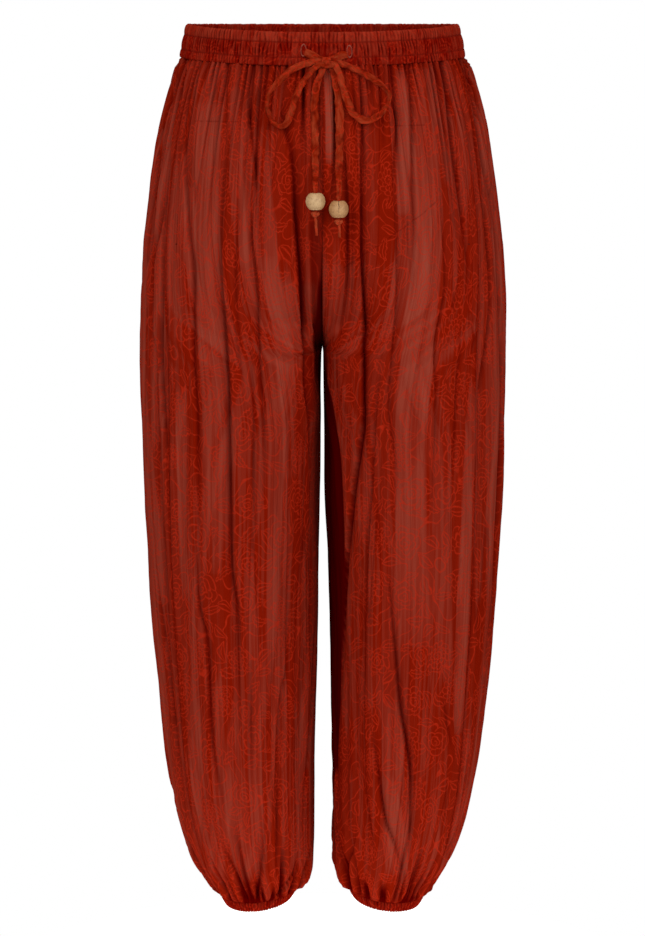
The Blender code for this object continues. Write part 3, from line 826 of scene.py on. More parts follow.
@dataclass(frozen=True)
class PrintedCrepe:
    """Viscose crepe, woven from tightly twisted yarn and printed in one colour.

    The cloth is matt, slightly see-through and covered in fine upright crinkles. It is deeper in colour in folds by
    painted shade, and paler where light is painted in as if it showed through the single cloth.
    """

    name: str
    # The ground runs from deep to pale as more light is painted in.
    deep: str = "#801503"
    pale: str = "#994232"
    # The colour of painted shade in folds, creases and shadows.
    fold: str = "#4a0000"
    ink: str = "#b42813"
    ink_strength: float = 0.74
    crinkle_mm: Pair = (2, 42)
    streak_mm: Pair = (4, 130)
    # The real threads stand 0.3 mm apart; they are drawn three times as coarse to show.
    thread_mm: float = 0.91208
    relief_mm: float = 0.7
    # Width and length of the loose laps drawn in painted light and shade, and how much they show.
    laps_mm: tuple[Triple, ...] = ((34, 900, 0.5), (13, 340, 0.22))
    lap_paleness: float = 0.16
    lap_edge: float = 0.62
    streaks: float = 0.11
    # Both ends of each fine straight crease left from packing, drawn as a line of painted shade, on flat cloth in
    # metres.
    press_creases: tuple[tuple[Pair, Pair], ...] = ()
    press_width: float = 0.0011
    press_strength: float = 0.34
    # How much ink is left where light is painted in as if it came through the cloth and the print.
    single_ink: float = 0.66
    worn_ink: float = 0.55
    thread_relief: float = 0.1
    streak_relief: float = 0.9

    def grain(self, add: Add, cloth: Node, size: Pair,
              detail: float, shift: Pair = (0, 0)) -> Node:
        """A noise drawn out along the cloth.

        Args:
            add: Adds a node.
            cloth: The place on flat cloth.
            size: The noise's width and length in millimetres.
            detail: How much finer noise lies over it.
            shift: Parts one noise from another.

        Returns:
            The noise.
        """
        place = add("Mapping", Vector=cloth, Location=(*shift, 0),
                    Scale=(1000 / size[0], 1000 / size[1], 1))
        return add("TexNoise", Vector=place, Scale=1, Detail=detail, **FLAT)

    def pressed(self, add: Add, cloth: Node, start: Pair, end: Pair) -> Node:
        """Draws a press crease as a line of painted shade, with breaks where it has flattened out.

        Args:
            add: Adds a node.
            cloth: The place on flat cloth.
            start: One end of the crease.
            end: Its other end.

        Returns:
            1 along the crease and 0 off it.
        """
        run, rise = end[0] - start[0], end[1] - start[1]
        turned = add("Mapping", Vector=cloth, Location=(*start, 0),
                     Rotation=(0, 0, math.atan2(rise, run)), vector_type="TEXTURE")
        x, y, _ = add("SeparateXYZ", turned).outputs
        width, half = self.press_width, math.hypot(run, rise) / 2
        line = add("MapRange", add("ABSOLUTE", y), width * 0.3, width, 1, 0)
        within = add("MapRange", add("SUBTRACT ABSOLUTE", x, half), half * 0.9, half, 1, 0)
        breaks = add("TexNoise", Vector=cloth, Scale=120, Detail=1, **FLAT)
        return add("MULTIPLY", line, within, add("MapRange", breaks, 0.38, 0.5, 0.25, 1))

    def build(self) -> Material:
        """Makes the material.

        Returns:
            The material, which reads cloth, sheer for its painted light and hollow for its painted shade.
        """
        made, add, shader = new_material(self.name)
        cloth = add("UVMap", uv_map="cloth")
        sheer, hollow = (add("Attribute", attribute_name=name).outputs["Fac"]
                         for name in ("sheer", "hollow"))
        streaks = add("MapRange", self.grain(add, cloth, self.streak_mm, 2), 0.44, 0.58,
                      -self.streaks, self.streaks)
        paleness = add("ADD", sheer, streaks, use_clamp=True)
        # Painted shade, from hollow and from the lap lines below.
        dark = hollow
        # A loose lap of the cloth over itself is drawn as painted light on one side of a thin line of painted shade.
        for number, (width, length, strength) in enumerate(self.laps_mm):
            level = self.grain(add, cloth, (width, length), 0, (7.3 * number, 3.1))
            paler = self.lap_paleness * strength
            over = add("MapRange", level, 0.49, 0.51, -paler, paler)
            paleness = add("ADD", paleness, over, use_clamp=True)
            edge = add("MapRange", add("SUBTRACT ABSOLUTE", level, 0.495), 0.003, 0.014,
                       self.lap_edge * strength, 0)
            dark = add("MAXIMUM", dark, edge)
        ground = add("Mix", paleness, self.deep, self.pale, **COLOURS)
        wear = add("TexNoise", Vector=cloth, Scale=140, Detail=2, **FLAT)
        wear = add("MapRange", wear, 0.3, 0.62, self.worn_ink * self.ink_strength,
                   self.ink_strength)
        fainter = add("MapRange", sheer, 0, 1, 1, self.single_ink)
        inked = add("MULTIPLY", FlowerPrint(add).lines(cloth), wear, fainter)
        colour = add("Mix", inked, ground, self.ink, **COLOURS)
        # Paints the shade in folds, creases and shadows.
        colour = add("Mix", dark, colour, self.fold, **COLOURS)
        # Painted shade along the press creases.
        if self.press_creases:
            pressed = add("MAXIMUM", *(self.pressed(add, cloth, *ends)
                                       for ends in self.press_creases))
            pressed = add("MULTIPLY", pressed, self.press_strength)
            colour = add("Mix", pressed, colour, self.fold, **COLOURS)
        threads = add("TexWave", Vector=cloth, bands_direction="Y",
                      Scale=WAVE_SCALE / self.thread_mm)
        height = add("MULTIPLY_ADD", threads, self.thread_relief,
                     self.grain(add, cloth, self.crinkle_mm, 3))
        height = add("MULTIPLY_ADD", streaks, self.streak_relief, height)
        add(shader, Base_Color=colour, Roughness=0.95, IOR=1.47, Specular_IOR_Level=0,
            Normal=add("Bump", Height=height, Distance=self.relief_mm * 0.001, Strength=0.6))
        return made


@dataclass(frozen=True)
class Thread:
    """Spun polyester sewing thread: matt and slightly paler than the cloth."""

    name: str
    colour: str
    shade: float = 0.72
    strand_mm: float = 0.5

    def build(self) -> Material:
        """Makes the material: fine slanting strands.

        Returns:
            The material.
        """
        made, add, shader = new_material(self.name)
        strands = add("TexWave", Vector=add("TexCoord").outputs["Object"], Distortion=1,
                      Scale=WAVE_SCALE / self.strand_mm, bands_direction="DIAGONAL")
        between = [self.shade * part for part in linear(self.colour)[:3]]
        shade = add("Mix", strands, (*between, 1), self.colour, **COLOURS)
        add(shader, Base_Color=shade, Roughness=0.9, Specular_IOR_Level=0.05,
            Normal=add("Bump", Height=strands, Distance=0.0001))
        return made


@dataclass(frozen=True)
class TurnedWood:
    """Pale schima wood, turned and left unvarnished: dry, with grain and pores."""

    name: str
    centre: Place
    pale: str = "#d2ac7c"
    dark: str = "#a97c4e"
    pore: str = "#6f4726"
    # The split is cut only in colour and bump: its dark colour is painted shade inside it.
    crack: str = "#4f2f16"
    grain_mm: float = 2.4
    grain_strength: float = 0.45
    # The split is 0.8 mm wide at the top, and closes towards the middle.
    split: bool = False
    split_half_width: Pair = (0.00012, 0.0004)
    split_heights: Pair = (-0.003, 0.0095)
    split_wobble: float = 0.0016

    def build(self) -> Material:
        """Makes the material.

        Returns:
            The material.
        """
        made, add, shader = new_material(self.name)
        place = add("Mapping", Vector=add("TexCoord").outputs["Object"],
                    Location=tuple(-c for c in self.centre))
        grain = add("TexWave", Vector=place, Scale=WAVE_SCALE / self.grain_mm, Distortion=5,
                    Detail=3, Detail_Scale=1.6, wave_type="RINGS", rings_direction="X")
        wood = add("Mix", grain, self.pale, self.dark, **COLOURS)
        wood = add("Mix", self.grain_strength, self.pale, wood, **COLOURS)
        clouds = add("TexNoise", Vector=place, Scale=160, Detail=3)
        clouds = add("MapRange", clouds, 0.42, 0.7, 0, 0.55)
        wood = add("Mix", clouds, wood, self.dark, **COLOURS)
        pores = add("Mapping", Vector=place, Scale=(1400, 1400, 420))
        pores = add("TexNoise", Vector=pores, Scale=1, Detail=2)
        depth = add("MapRange", pores, 0.6, 0.72, 0, 0.6)
        wood = add("Mix", depth, wood, self.pore, **COLOURS)
        if self.split:
            x, y, z = add("SeparateXYZ", place).outputs
            wobble = add("TexNoise", Vector=place, Scale=420, Detail=2)
            wobble = add("MapRange", wobble, 0, 1, -self.split_wobble, self.split_wobble)
            width = add("MapRange", z, *self.split_heights, *self.split_half_width)
            crack = add("MULTIPLY", add("LESS_THAN", add("ADD ABSOLUTE", x, wobble), width),
                        add("LESS_THAN", y, 0), add("GREATER_THAN", z, self.split_heights[0]))
            # Paints shade into the split.
            wood = add("Mix", crack, wood, self.crack, **COLOURS)
            depth = add("MAXIMUM", depth, crack)
        add(shader, Base_Color=wood, Roughness=0.55, IOR=1.5,
            Normal=add("Bump", Height=depth, Distance=0.0003, invert=True))
        return made


@dataclass(frozen=True)
class StudioPaper:
    """White studio paper: matt, with faint fibre mottling."""

    name: str = "studio_paper"
    colour: str = "#ffffff"
    fibre: str = "#fafafa"

    def build(self) -> Material:
        """Makes the material.

        Returns:
            The material.
        """
        made, add, shader = new_material(self.name)
        fibres = add("TexNoise", Vector=add("TexCoord").outputs["Object"], Scale=300, Detail=2)
        add(shader, Roughness=0.9, Emission_Color=self.colour, Emission_Strength=0.9,
            Base_Color=add("Mix", fibres, self.fibre, self.colour, **COLOURS))
        return made


# The leg panels


@dataclass(frozen=True)
class Crease:
    """A valley in the cloth, so many millimetres deep and wide."""

    depth: float
    width: float
    route: Route
    lap: Lap = Lap.NONE
    # Width and power of a lapped crease's sharp side and slow side.
    sharp: Pair = (0.36, 2)
    slow: Pair = (1.9, 1.15)
    # A crease that ends below hem_end opens at the hem. One that starts above waist_start and
    # isn't long opens at the waist. Any other is deepest in its middle.
    hem_end: float = 920
    waist_start: float = 35
    long_end: float = 600

    def fullness(self, z: Array) -> Array:
        """How open the crease is at each height.

        Args:
            z: Nominal heights.

        Returns:
            Shares from 0 to 1.
        """
        along = np.pi * way_down(self.route, z)
        if self.route[-2] > self.hem_end:
            return np.sin(along / 2) ** 0.8
        if self.route[0] < self.waist_start and self.route[-2] < self.long_end:
            return np.cos(along / 2) ** 0.8
        return np.sin(along) ** 0.7

    def valley(self, off: Array) -> Array:
        """The valley's section.

        Args:
            off: Distances outwards of its bottom, in metres.

        Returns:
            Depths as shares, 1 at the bottom.
        """
        off = off * 1000 / self.width
        if self.lap is Lap.NONE:
            return peak(off, 1)
        width, power = (np.where(off * self.lap.value > 0, *sides)
                        for sides in zip(self.sharp, self.slow))
        return np.exp(-np.abs(off / width) ** power)


@dataclass(frozen=True)
class Veil:
    """A streak so many millimetres wide of painted light, as if light showed through the cloth; a negative strength
    paints it darker.
    """

    width: float
    strength: float
    route: Route
    edges: Pair = (1.07, 0.85)

    def paleness(self, off: Array, z: Array) -> Array:
        """How much light is painted on the cloth at each distance from the streak's route, in metres."""
        shown = np.sin(np.pi * way_down(self.route, z)) ** 0.35
        return self.strength * shown * ramp(np.abs(off) * 1000 / self.width, *self.edges)


@dataclass(frozen=True)
class Shade:
    """A painted shadow between two routes, with soft edges, that fades in at its top."""

    route: Route
    strength: float
    inner: Route = ()
    soft: float = 0.0024
    fade: float = 0.03


def way_down(route: Route, z: Array) -> Array:
    """How far down a route each height is, from 0 to 1."""
    top, bottom = route[0], route[-2]
    return clip((-1000 * z - top) / (bottom - top))


@dataclass(frozen=True)
class Gathers:
    """A row of small uneven creases that run from a gathered seam. Sizes are millimetres."""

    crowding: float
    edge: float
    reach: Pair
    depth: Pair
    width: Pair
    scatter: float = 0.75
    lean: float = 0.6
    shortness: float = 1.7

    def creases(self, columns: int, seed: int) -> list[Crease]:
        """Spaces the creases across a panel, each with its own length, depth and width.

        Args:
            columns: The panel's columns, which set how many creases it has room for.
            seed: Picks one set.

        Returns:
            The creases.
        """
        count = round(self.crowding * columns)
        order = np.arange(count)
        shift, length, depth, width, drift = (random_share(order, row, seed) for row in range(5))
        share = 100 * (order + 0.5 + self.scatter * (shift - 0.5)) / count
        far = self.edge + mix(*self.reach, length**self.shortness)
        far_share = share + 100 * self.lean * (drift - 0.5) / count
        depths, widths = mix(*self.depth, depth), mix(*self.width, width)
        routes = ((self.edge, *rest) if self.reach[0] > 0 else (*rest[1:], self.edge, rest[0])
                  for rest in zip(share, far, far_share))
        return [Crease(*sizes) for sizes in zip(depths, widths, routes)]


@dataclass
class LegPanel:
    """One of the four leg panels, from the waist seam to the cuff seam.

    Shares across a panel run from the centre seam on a front and from the side seam on a back.
    """

    side: Side
    face: Face
    material: Material
    creases: tuple[Crease, ...]
    veils: tuple[Veil, ...]
    cut_width: float
    cut_area: float
    seed: int
    print_shift: float
    columns_by_face: tuple[int, int] = (150, 190)
    row_step: float = 0.004
    waist: float = -0.012
    crotch_band_end: float = -0.365
    hem: float = -0.932
    cut_length: float = 0.94
    cloth: float = 0.0007
    gathers: tuple[Gathers, ...] = (
        Gathers(0.13, 12, (20, 230), (2.4, 5.4), (1, 1.9)),
        Gathers(0.24, 12, (6, 36), (0.8, 1.8), (0.8, 1.2)),
        Gathers(0.08, 932, (-30, -110), (4, 9), (1.8, 3.6)),
        Gathers(0.16, 932, (-8, -35), (1.4, 3.2), (1, 1.6)))
    # How much of its relief the cloth keeps at the waist and at the hem, and where all is back.
    waist_relief: Pair = (0.35, -0.026)
    hem_relief: Pair = (0.16, -0.919)
    edge_calm: float = 0.007
    seam_pull: float = 0.0007
    seam_width: float = 0.0026
    seam_shade: float = 0.35
    tuck: float = 0.0012
    tuck_height: float = 0.003
    cleft: float = 0.006
    cleft_width: float = 0.008
    cleft_heights: tuple[float, ...] = (-0.19, -0.31, -0.34, -0.4)
    drift: Uneven = Uneven(0.01, (0.05, 0.16), 2)
    rolls: tuple[Uneven, ...] = (Uneven(0.0026, (0.03, 0.22), 3), Uneven(0.0017, (0.011, 0.12), 4))
    crinkle: Uneven = Uneven(0.0004, (0.0042, 0.045), 5)
    fine_crinkle: Uneven = Uneven(0.00024, (0.0028, 0.018), 6)
    fold_depth: float = 0.0078
    fold_shade: float = 1.25
    gather_shade: float = 1.2
    hem_shade: float = 0.9
    hem_shade_height: float = 0.005
    streak_drift: Uneven = Uneven(0.012, (0.06, 0.2), 7)
    # Each kind of uneven streak of painted light: how pale it is, the level it starts at and its unevenness.
    streaks: tuple[tuple[float, float, Uneven], ...] = (
        (0.22, -0.1, Uneven(1, (0.021, 0.28), 8)), (0.16, -0.05, Uneven(1, (0.0075, 0.2), 9)))
    streak_edge: float = 0.16
    least_sheer: float = -0.01
    hem_sheer: float = 0.3
    hem_sheer_heights: Pair = (-0.882, -0.922)
    crease_scale: float = 0.72
    crossing: float = 0.35
    steepest: float = 6
    middle: float = 0.006
    crotch_turn: float = 6 / 7
    shades: tuple[Shade, ...] = ()
    name: str = field(init=False)

    def __post_init__(self) -> None:
        """Names the panel and lays out its grid and relief."""
        self.name = f"{self.face.value}_{self.side.word}"
        self.columns = self.columns_by_face[self.face is Face.BACK]
        self.share = np.linspace(0, 1, self.columns + 1)[None, :]
        self.s, self.z = self.lay_out()
        self.x, self.y = FORM.point(self.s, self.z)
        steps = np.hypot(np.diff(self.x, axis=1), np.diff(self.y, axis=1))
        self.across = np.concatenate((np.zeros((len(steps), 1)), np.cumsum(steps, axis=1)), axis=1)
        self.relief, self.hollow = self.fold()

    def lay_out(self) -> tuple[Array, Array]:
        """Lays the grid's rows level, and curved round the crotch.

        Returns:
            The points' ring shares and heights.
        """
        top, low = FORM.crotch_top, self.crotch_band_end
        above = np.arange(self.waist, top, -self.row_step)
        count = round((top - low) / self.row_step)
        band = np.arange(count) / count
        turned = np.sin(np.pi / 2 * clip(band / self.crotch_turn))
        past = clip(band - self.crotch_turn) / (1 - self.crotch_turn)
        seam_band = mix(top, FORM.crotch, turned) - past * (FORM.crotch - low)
        below = np.linspace(low, self.hem, round((low - self.hem) / self.row_step) + 1)
        away, at_seam = (np.concatenate((above, rows, below))[:, None]
                         for rows in (mix(top, low, band), seam_band))
        s = self.ring_share(self.share, away)
        return s, mix(away, at_seam, FORM.near_seam(s))

    def ring_share(self, share: Array, z: Array) -> Array:
        """The share round the half of the garment, from a share across this panel."""
        seam = profile(FORM.side_seam, z)
        return seam * share if self.face is Face.FRONT else mix(seam, 1, share)

    def offset_from(self, route: Route) -> Array:
        """How far every point lies from a route, which runs smoothly between its points.

        Args:
            route: The route.

        Returns:
            Distances, positive towards the panel's far seam.
        """
        heights, shares = np.reshape(route, (-1, 2)).T * ((-0.001,), (0.01,))
        s = clip(self.ring_share(shares, heights))
        # It is smooth in X as the eye sees it, but in share where it passes the side.
        if s.max() < 0.5 or s.min() > 0.52:
            place, marks = self.x, FORM.point(s, heights)[0]
        else:
            place, marks = self.share + 0 * self.z, shares
        slope = np.gradient(self.across, axis=1) / np.gradient(place, axis=1)
        away = place - profile(tuple(zip(heights, marks)), self.z)
        return away * np.clip(slope, -self.steepest, self.steepest)

    def dent(self, crease: Crease, scale: float = 1) -> Array:
        """The depth of one crease at each point, drawn at a scale."""
        valley = crease.valley(self.offset_from(crease.route) / scale)
        return scale * crease.depth / 1000 * crease.fullness(self.z) * valley

    def fold(self) -> tuple[Array, Array]:
        """The cloth's relief.

        Returns:
            How far each point lies inside the form, and the shade painted on it, 0 to 1: in folds and gathers, along
            the seams, at the hem and in each painted shadow.
        """
        x, z = self.across, self.z
        main, small = np.zeros_like(z), np.zeros_like(z)
        for crease in self.creases:
            here = self.dent(crease, self.crease_scale)
            # Where two creases cross, the shallower one counts less.
            main = np.maximum(main, here) + self.crossing * np.minimum(main, here)
        for number, gathers in enumerate(self.gathers):
            for crease in gathers.creases(self.columns, self.seed + 10 * number):
                small += self.dent(crease)
        drifted = x + self.drift.at(x, z, self.seed)
        rolls = sum(roll.at(drifted, z, self.seed) for roll in self.rolls)
        fine = self.crinkle.at(drifted, z, self.seed) + self.fine_crinkle.at(x, z, self.seed)
        from_edge = np.minimum(x, x[:, -1:] - x)
        calm = ramp(from_edge, 0, self.edge_calm)
        waist_kept, waist_end = self.waist_relief
        hem_kept, hem_end = self.hem_relief
        at_waist, at_hem = ramp(z, self.waist, waist_end), ramp(z, self.hem, hem_end)
        seam = peak(from_edge, self.seam_width)
        large = mix(waist_kept, 1, at_waist) * (main + rolls)
        relief = (calm * mix(hem_kept, 1, at_hem) * (large + small + fine) + self.seam_pull
                  * seam * at_hem + self.tuck * peak(self.waist - z, self.tuck_height) + self.cleft
                  * plateau(z, self.cleft_heights) * peak(self.x, self.cleft_width))
        # Painted shade: in folds and gathers, along the seams, at the hem and in each painted shadow.
        folded = calm * (main + self.gather_shade * small) / self.fold_depth
        shades = [clip(folded) ** self.fold_shade, self.seam_shade * seam,
                  self.hem_shade * ramp(z, self.hem + self.hem_shade_height, self.hem)]
        for shade in self.shades:
            inside = smooth(0.5 - self.offset_from(shade.route) / shade.soft)
            if shade.inner:
                inside = inside * smooth(0.5 + self.offset_from(shade.inner) / shade.soft)
            top = -0.001 * shade.route[0]
            shades.append(shade.strength * inside * ramp(z, top, top - shade.fade))
        return relief, clip(np.maximum.reduce(shades))

    def surface(self, inward: float = 0) -> Array:
        """The grid of points on the cloth.

        Args:
            inward: Moves the points inwards by this distance.

        Returns:
            Places, as rows x columns x 3.
        """
        out_x, out_y = FORM.outward(self.s, self.z)
        depth = self.relief + inward
        column = 0 if self.face is Face.FRONT else -1
        gap = self.x[:, [column]] * (self.z[:, [column]] > FORM.crotch - self.row_step)
        closed = self.x - gap * FORM.near_seam(self.s)
        x = np.maximum(closed - out_x * depth * smooth(closed / self.middle), 0)
        return np.stack((self.side.value * x, self.y - out_y * depth,
                         self.z + FORM.lift(self.s, self.z)), axis=2)

    def sheerness(self) -> Array:
        """Light painted on the cloth, as if showing through it: uneven streaks, and the patches listed.

        Returns:
            Shares from 0 to 1, one a point.
        """
        x, z = self.across, self.z
        x = x + self.streak_drift.at(x, z, self.seed)
        # The painted light starts just below nothing and is less near the hem.
        pale = self.least_sheer - self.hem_sheer * ramp(z, *self.hem_sheer_heights)
        for strength, level, uneven in self.streaks:
            pale = pale + strength * ramp(uneven.at(x, z, self.seed), level,
                                          level + self.streak_edge)
        for light_patch in self.veils:
            pale += light_patch.paleness(self.offset_from(light_patch.route), z)
        return clip(pale)

    def build(self) -> None:
        flat_x = self.side.value * self.share * self.cut_width + self.print_shift
        piece = make_cloth(f"cloth_{self.name}", self.surface(), (flat_x, self.z),
                           self.sheerness(), self.hollow, flip=self.side is Side.RIGHT)
        apply_modifier(piece, "SOLIDIFY", thickness=self.cloth, offset=-1)
        dress(piece, self.material, "cloth", self.name)
        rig.sheet(piece, flat=(self.cut_width, self.cut_length), held="gathered",
                 rests_on=["waist_casing"], area=self.cut_area)


@dataclass
class PocketBag:
    """The slant pocket's bag, behind a front panel at the side seam."""

    panel: LegPanel
    thread: Material
    shares: Pair = (0.5, 1)
    heights: Pair = (-0.085, -0.29)
    clearance: float = 0.0022
    cloth: float = 0.0007
    flat: Pair = (0.115, 0.215)
    cloth_share: float = 0.88
    stitch_share: float = 0.91
    stitch_heights: Pair = (-0.134, -0.212)
    stitch_pitch: float = 0.0031
    stitch: Pair = (0.0019, 0.0005)
    tack_stitches: int = 5
    tack_pitch: float = 0.0006

    def build(self) -> None:
        """Makes the bag from the panel's own points, moved inwards."""
        panel = self.panel
        inside = (panel.z <= self.heights[0]) & (panel.z >= self.heights[1])
        rows = np.flatnonzero(inside[:, -1])
        first, last = (round(share * panel.columns) for share in self.shares)
        block = (slice(rows[0], rows[-1] + 1), slice(first, last + 1))
        flat_x = panel.side.value * panel.share[:, first:last + 1] * panel.cut_width
        # The bag takes the panel's painted shade and no painted light.
        piece = make_cloth(f"pocket_bag_{panel.side.word}", panel.surface(self.clearance)[block],
                           (flat_x, panel.z[block]), 0, panel.hollow[block],
                           flip=panel.side is Side.RIGHT)
        apply_modifier(piece, "SOLIDIFY", thickness=self.cloth, offset=-1)
        dress(piece, panel.material, "cloth", f"pocket_{panel.side.word}")
        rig.sheet(piece, flat=self.flat, held="hung", rests_on=[f"cloth_{panel.name}"],
                 area=self.cloth_share * self.flat[0] * self.flat[1])

    def topstitch(self) -> None:
        """Sews the dotted line along the pocket, with a bar tack at its lower end."""
        panel, count = self.panel, self.tack_stitches
        column = round(self.stitch_share * panel.columns)
        out_x, out_y = (part[:, column] for part in FORM.outward(panel.s, panel.z))
        rows = (*panel.surface()[:, column].T, panel.side.value * out_x, out_y, 0 * out_y)
        at = -np.arange(*(-height for height in self.stitch_heights), self.stitch_pitch)
        made = np.stack([np.interp(-at, -panel.z[:, column], row) for row in rows], axis=1)
        places, outward = made[:, :3], made[:, 3:]
        along = np.gradient(places, axis=0)
        row = (np.arange(count) - (count - 1) / 2)[:, None] * self.tack_pitch
        tack = places[-1] + unit(np.cross(outward[-1], along[-1])) * row
        along, outward = (np.concatenate((part, np.repeat(part[-1:], count, axis=0)))
                          for part in (along, outward))
        piece = Stitching(*self.stitch).build(f"pocket_stitches_{panel.side.word}",
                                              np.concatenate((places, tack)), along, outward)
        dress(piece, self.thread, "cloth")


# Stitches


@dataclass
class Stitching:
    """Many copies of one small stitch, joined as one piece."""

    length: float
    thickness: float

    def build(self, name: str, places: Array, along: Array, outward: Array) -> Piece:
        """Models a stitch along X and copies it to every place.

        Args:
            name: Its name.
            places: Centres of the stitches.
            along: Each stitch's direction.
            outward: Directions away from the cloth.

        Returns:
            All the stitches, as one object.
        """
        pick()
        bpy.ops.mesh.primitive_uv_sphere_add(segments=6, ring_count=4, radius=0.5,
                                             rotation=(0, math.pi / 2, 0))
        stitch = bpy.context.object
        bpy.ops.object.transform_apply(rotation=True)
        stitch.scale = (self.length, self.thickness, self.thickness)
        bpy.ops.object.transform_apply(scale=True)
        edit(stitch, quads_convert_to_tris={})
        points = np.array([vertex.co[:] for vertex in stitch.data.vertices])
        faces = np.array([face.vertices[:] for face in stitch.data.polygons])
        bpy.data.meshes.remove(stitch.data)
        along = unit(along)
        beside = unit(np.cross(outward, along))
        turned = np.stack((along, beside, np.cross(along, beside)), axis=1)
        placed = np.einsum("pi,nij->npj", points, turned) + places[:, None, :]
        shift = np.arange(len(places))[:, None, None] * len(points)
        return make_object(name, placed.reshape(-1, 3), (faces[None] + shift).reshape(-1, 3))


# Casing and cuffs


def shirred_wall(name: str, rings: list[Ring], cut: Pair, sheer: Array | float,
                 flip: bool) -> Piece:
    """Closes rings, up the outside and down the inside, to one wall of gathered cloth.

    Args:
        name: Its name.
        rings: Each ring's places, the shade painted on them, deepest in folds, and the way to it in heights.
        cut: The flat strip's length, and the finished wall's height.
        sheer: How much light is painted on the cloth, as if it showed through.
        flip: Whether the faces are turned over.

    Returns:
        The closed wall.
    """
    closed = rings + [(*rings[0][:2], rings[-1][2])]
    places, hollow, way = (np.array(part) for part in zip(*closed))
    round_it = np.arange(places.shape[1]) / places.shape[1] * cut[0]
    made = make_cloth(name, places, (round_it, way[:, None] * cut[1]), sheer, hollow, closed=True,
                      flip=flip)
    edit(made, remove_doubles={"threshold": 1e-6})
    return made


@dataclass
class WaistCasing:
    """The elastic casing: a doubled strip, stitched in three channels and shirred."""

    material: Material
    thread: Material
    top: float = 0.017
    height: float = 0.033
    top_half_width: float = 0.145
    top_front: float = 0.101
    top_back: float = 0.103
    seam: float = -0.016
    wall: float = 0.003
    waves: int = 236
    columns_a_wave: int = 5
    cut: Pair = (1.08, 0.036)
    # Each stitched channel's lower and upper share of the height, its puff and its gather.
    channels: tuple[tuple[float, ...], ...] = (
        (0, 0.24, 0.0008, 0.0016), (0.24, 0.7, 0.0011, 0.0022), (0.7, 1, 0.001, 0.0016))
    stitched_pleat: float = 0.001
    wanders: tuple[Uneven, ...] = (Uneven(1.2, (1 / 30, 1 / 2.6), 11),
                                   Uneven(0.8, (1 / 11, 1), 12))
    pleat_depth: Uneven = Uneven(0.75, (1 / 62, 1 / 3.1), 13)
    pleat_limits: Pair = (0.1, 1.4)
    swell: Uneven = Uneven(0.0005, (1 / 34, 1 / 2), 14)
    full_shade: float = 0.0018
    stitch: Pair = (0.0023, 0.00055)
    stitch_lift: float = 0.0001
    stitch_shares: tuple[float, ...] = (0.24, 0.7)
    stitch_valley: float = 0.05
    stitch_shade: float = 0.55
    scallop: float = 0.001
    edge_ring: float = 0.0008
    edge_uneven: Uneven = Uneven(0.0003, (1 / 60, 1), 15)
    inside_flatness: float = 0.6
    inside_shade: float = 0.4
    paleness: float = 0.22
    top_paleness: float = 0.4
    pale_uneven: Uneven = Uneven(0.3, (1 / 20, 1 / 2), 16)

    def ring(self, turn: Array, share: Array, reach: Array) -> Array:
        """Places round the casing.

        Args:
            turn: Angles from the front, towards the wearer's left.
            share: Shares of the height, 0 at the waist seam.
            reach: Distances outside the smooth wall.

        Returns:
            The places.
        """
        s = np.abs(np.where(turn <= np.pi, turn / np.pi, 2 - turn / np.pi))
        wide, front, back = (FORM.reach(name, np.full_like(turn, self.seam))
                             for name in ("outer", "front", "back"))
        deep = np.where(s < 0.5, front, back)
        top_deep = np.where(s < 0.5, self.top_front, self.top_back)
        half_width = mix(wide, self.top_half_width, share) + reach
        half_depth = mix(deep, top_deep, share) + reach
        z = self.top - self.height * (1 - share) + FORM.waist_dip(s)
        return np.stack((half_width * np.sin(turn), -half_depth * np.cos(turn), z), axis=-1)

    def relief(self, turn: Array, share: Array) -> tuple[Array, Array]:
        """The outer face's puff and shirring.

        Args:
            turn: Angles.
            share: Shares of the height.

        Returns:
            The reach, and how deep in a pleat each point is, which is also its painted shade.
        """
        puff, gather = np.zeros_like(share), np.full_like(share, self.stitched_pleat)
        for low, high, rise, gathered in self.channels:
            arch = np.sin(np.pi * clip((share - low) / (high - low))) ** 0.6
            inside = (share >= low) & (share <= high)
            puff = np.where(inside, rise * arch, puff)
            gather = np.where(inside, mix(self.stitched_pleat, gathered, arch), gather)
        wander = sum(uneven.at(turn, share) for uneven in self.wanders)
        wave = np.abs(np.sin(turn * self.waves / 2 + wander))
        depth = self.pleat_depth.strength + self.pleat_depth.at(turn, share)
        pleat = (1 - wave ** 0.8) * np.clip(depth, *self.pleat_limits)
        hollow = clip(pleat * gather / self.full_shade)
        return puff + self.swell.at(turn, share) - gather * pleat, hollow

    def build(self) -> None:
        """Makes the casing as one closed wall, with painted light on its top channel and painted shade in its pleats,
        along its stitch rows and inside.
        """
        turn = angles(self.waves * self.columns_a_wave)
        # The rings go up the outside, over the top edge and down the inside.
        rings = []
        for share in np.linspace(0, 1, 31):
            level = np.full_like(turn, share)
            reach, hollow = self.relief(turn, level)
            places = self.ring(turn, level, reach)
            places[:, 2] -= self.scallop * (1 - share) ** 8 * (1 - hollow)
            # Painted shade along the stitch rows.
            nearest = min(abs(share - row) for row in self.stitch_shares)
            stitch_row_shade = self.stitch_shade * ramp(nearest, self.stitch_valley, 0)
            rings.append((places, np.maximum(hollow, stitch_row_shade), share))
        for bend in (0.25, 0.5, 0.75):
            places = self.ring(turn, level, mix(reach, -self.wall, bend))
            places[:, 2] += (self.edge_ring * math.sin(math.pi * bend)
                             + self.edge_uneven.at(turn, level))
            rings.append((places, hollow, 1 + 0.02 * bend))
        for share in np.linspace(1, 0, 13):
            level = np.full_like(turn, share)
            reach, hollow = self.relief(turn, level)
            inset = (-self.wall - self.inside_flatness * np.minimum(reach, 0)
                     - 0.0004 * (1 - hollow))
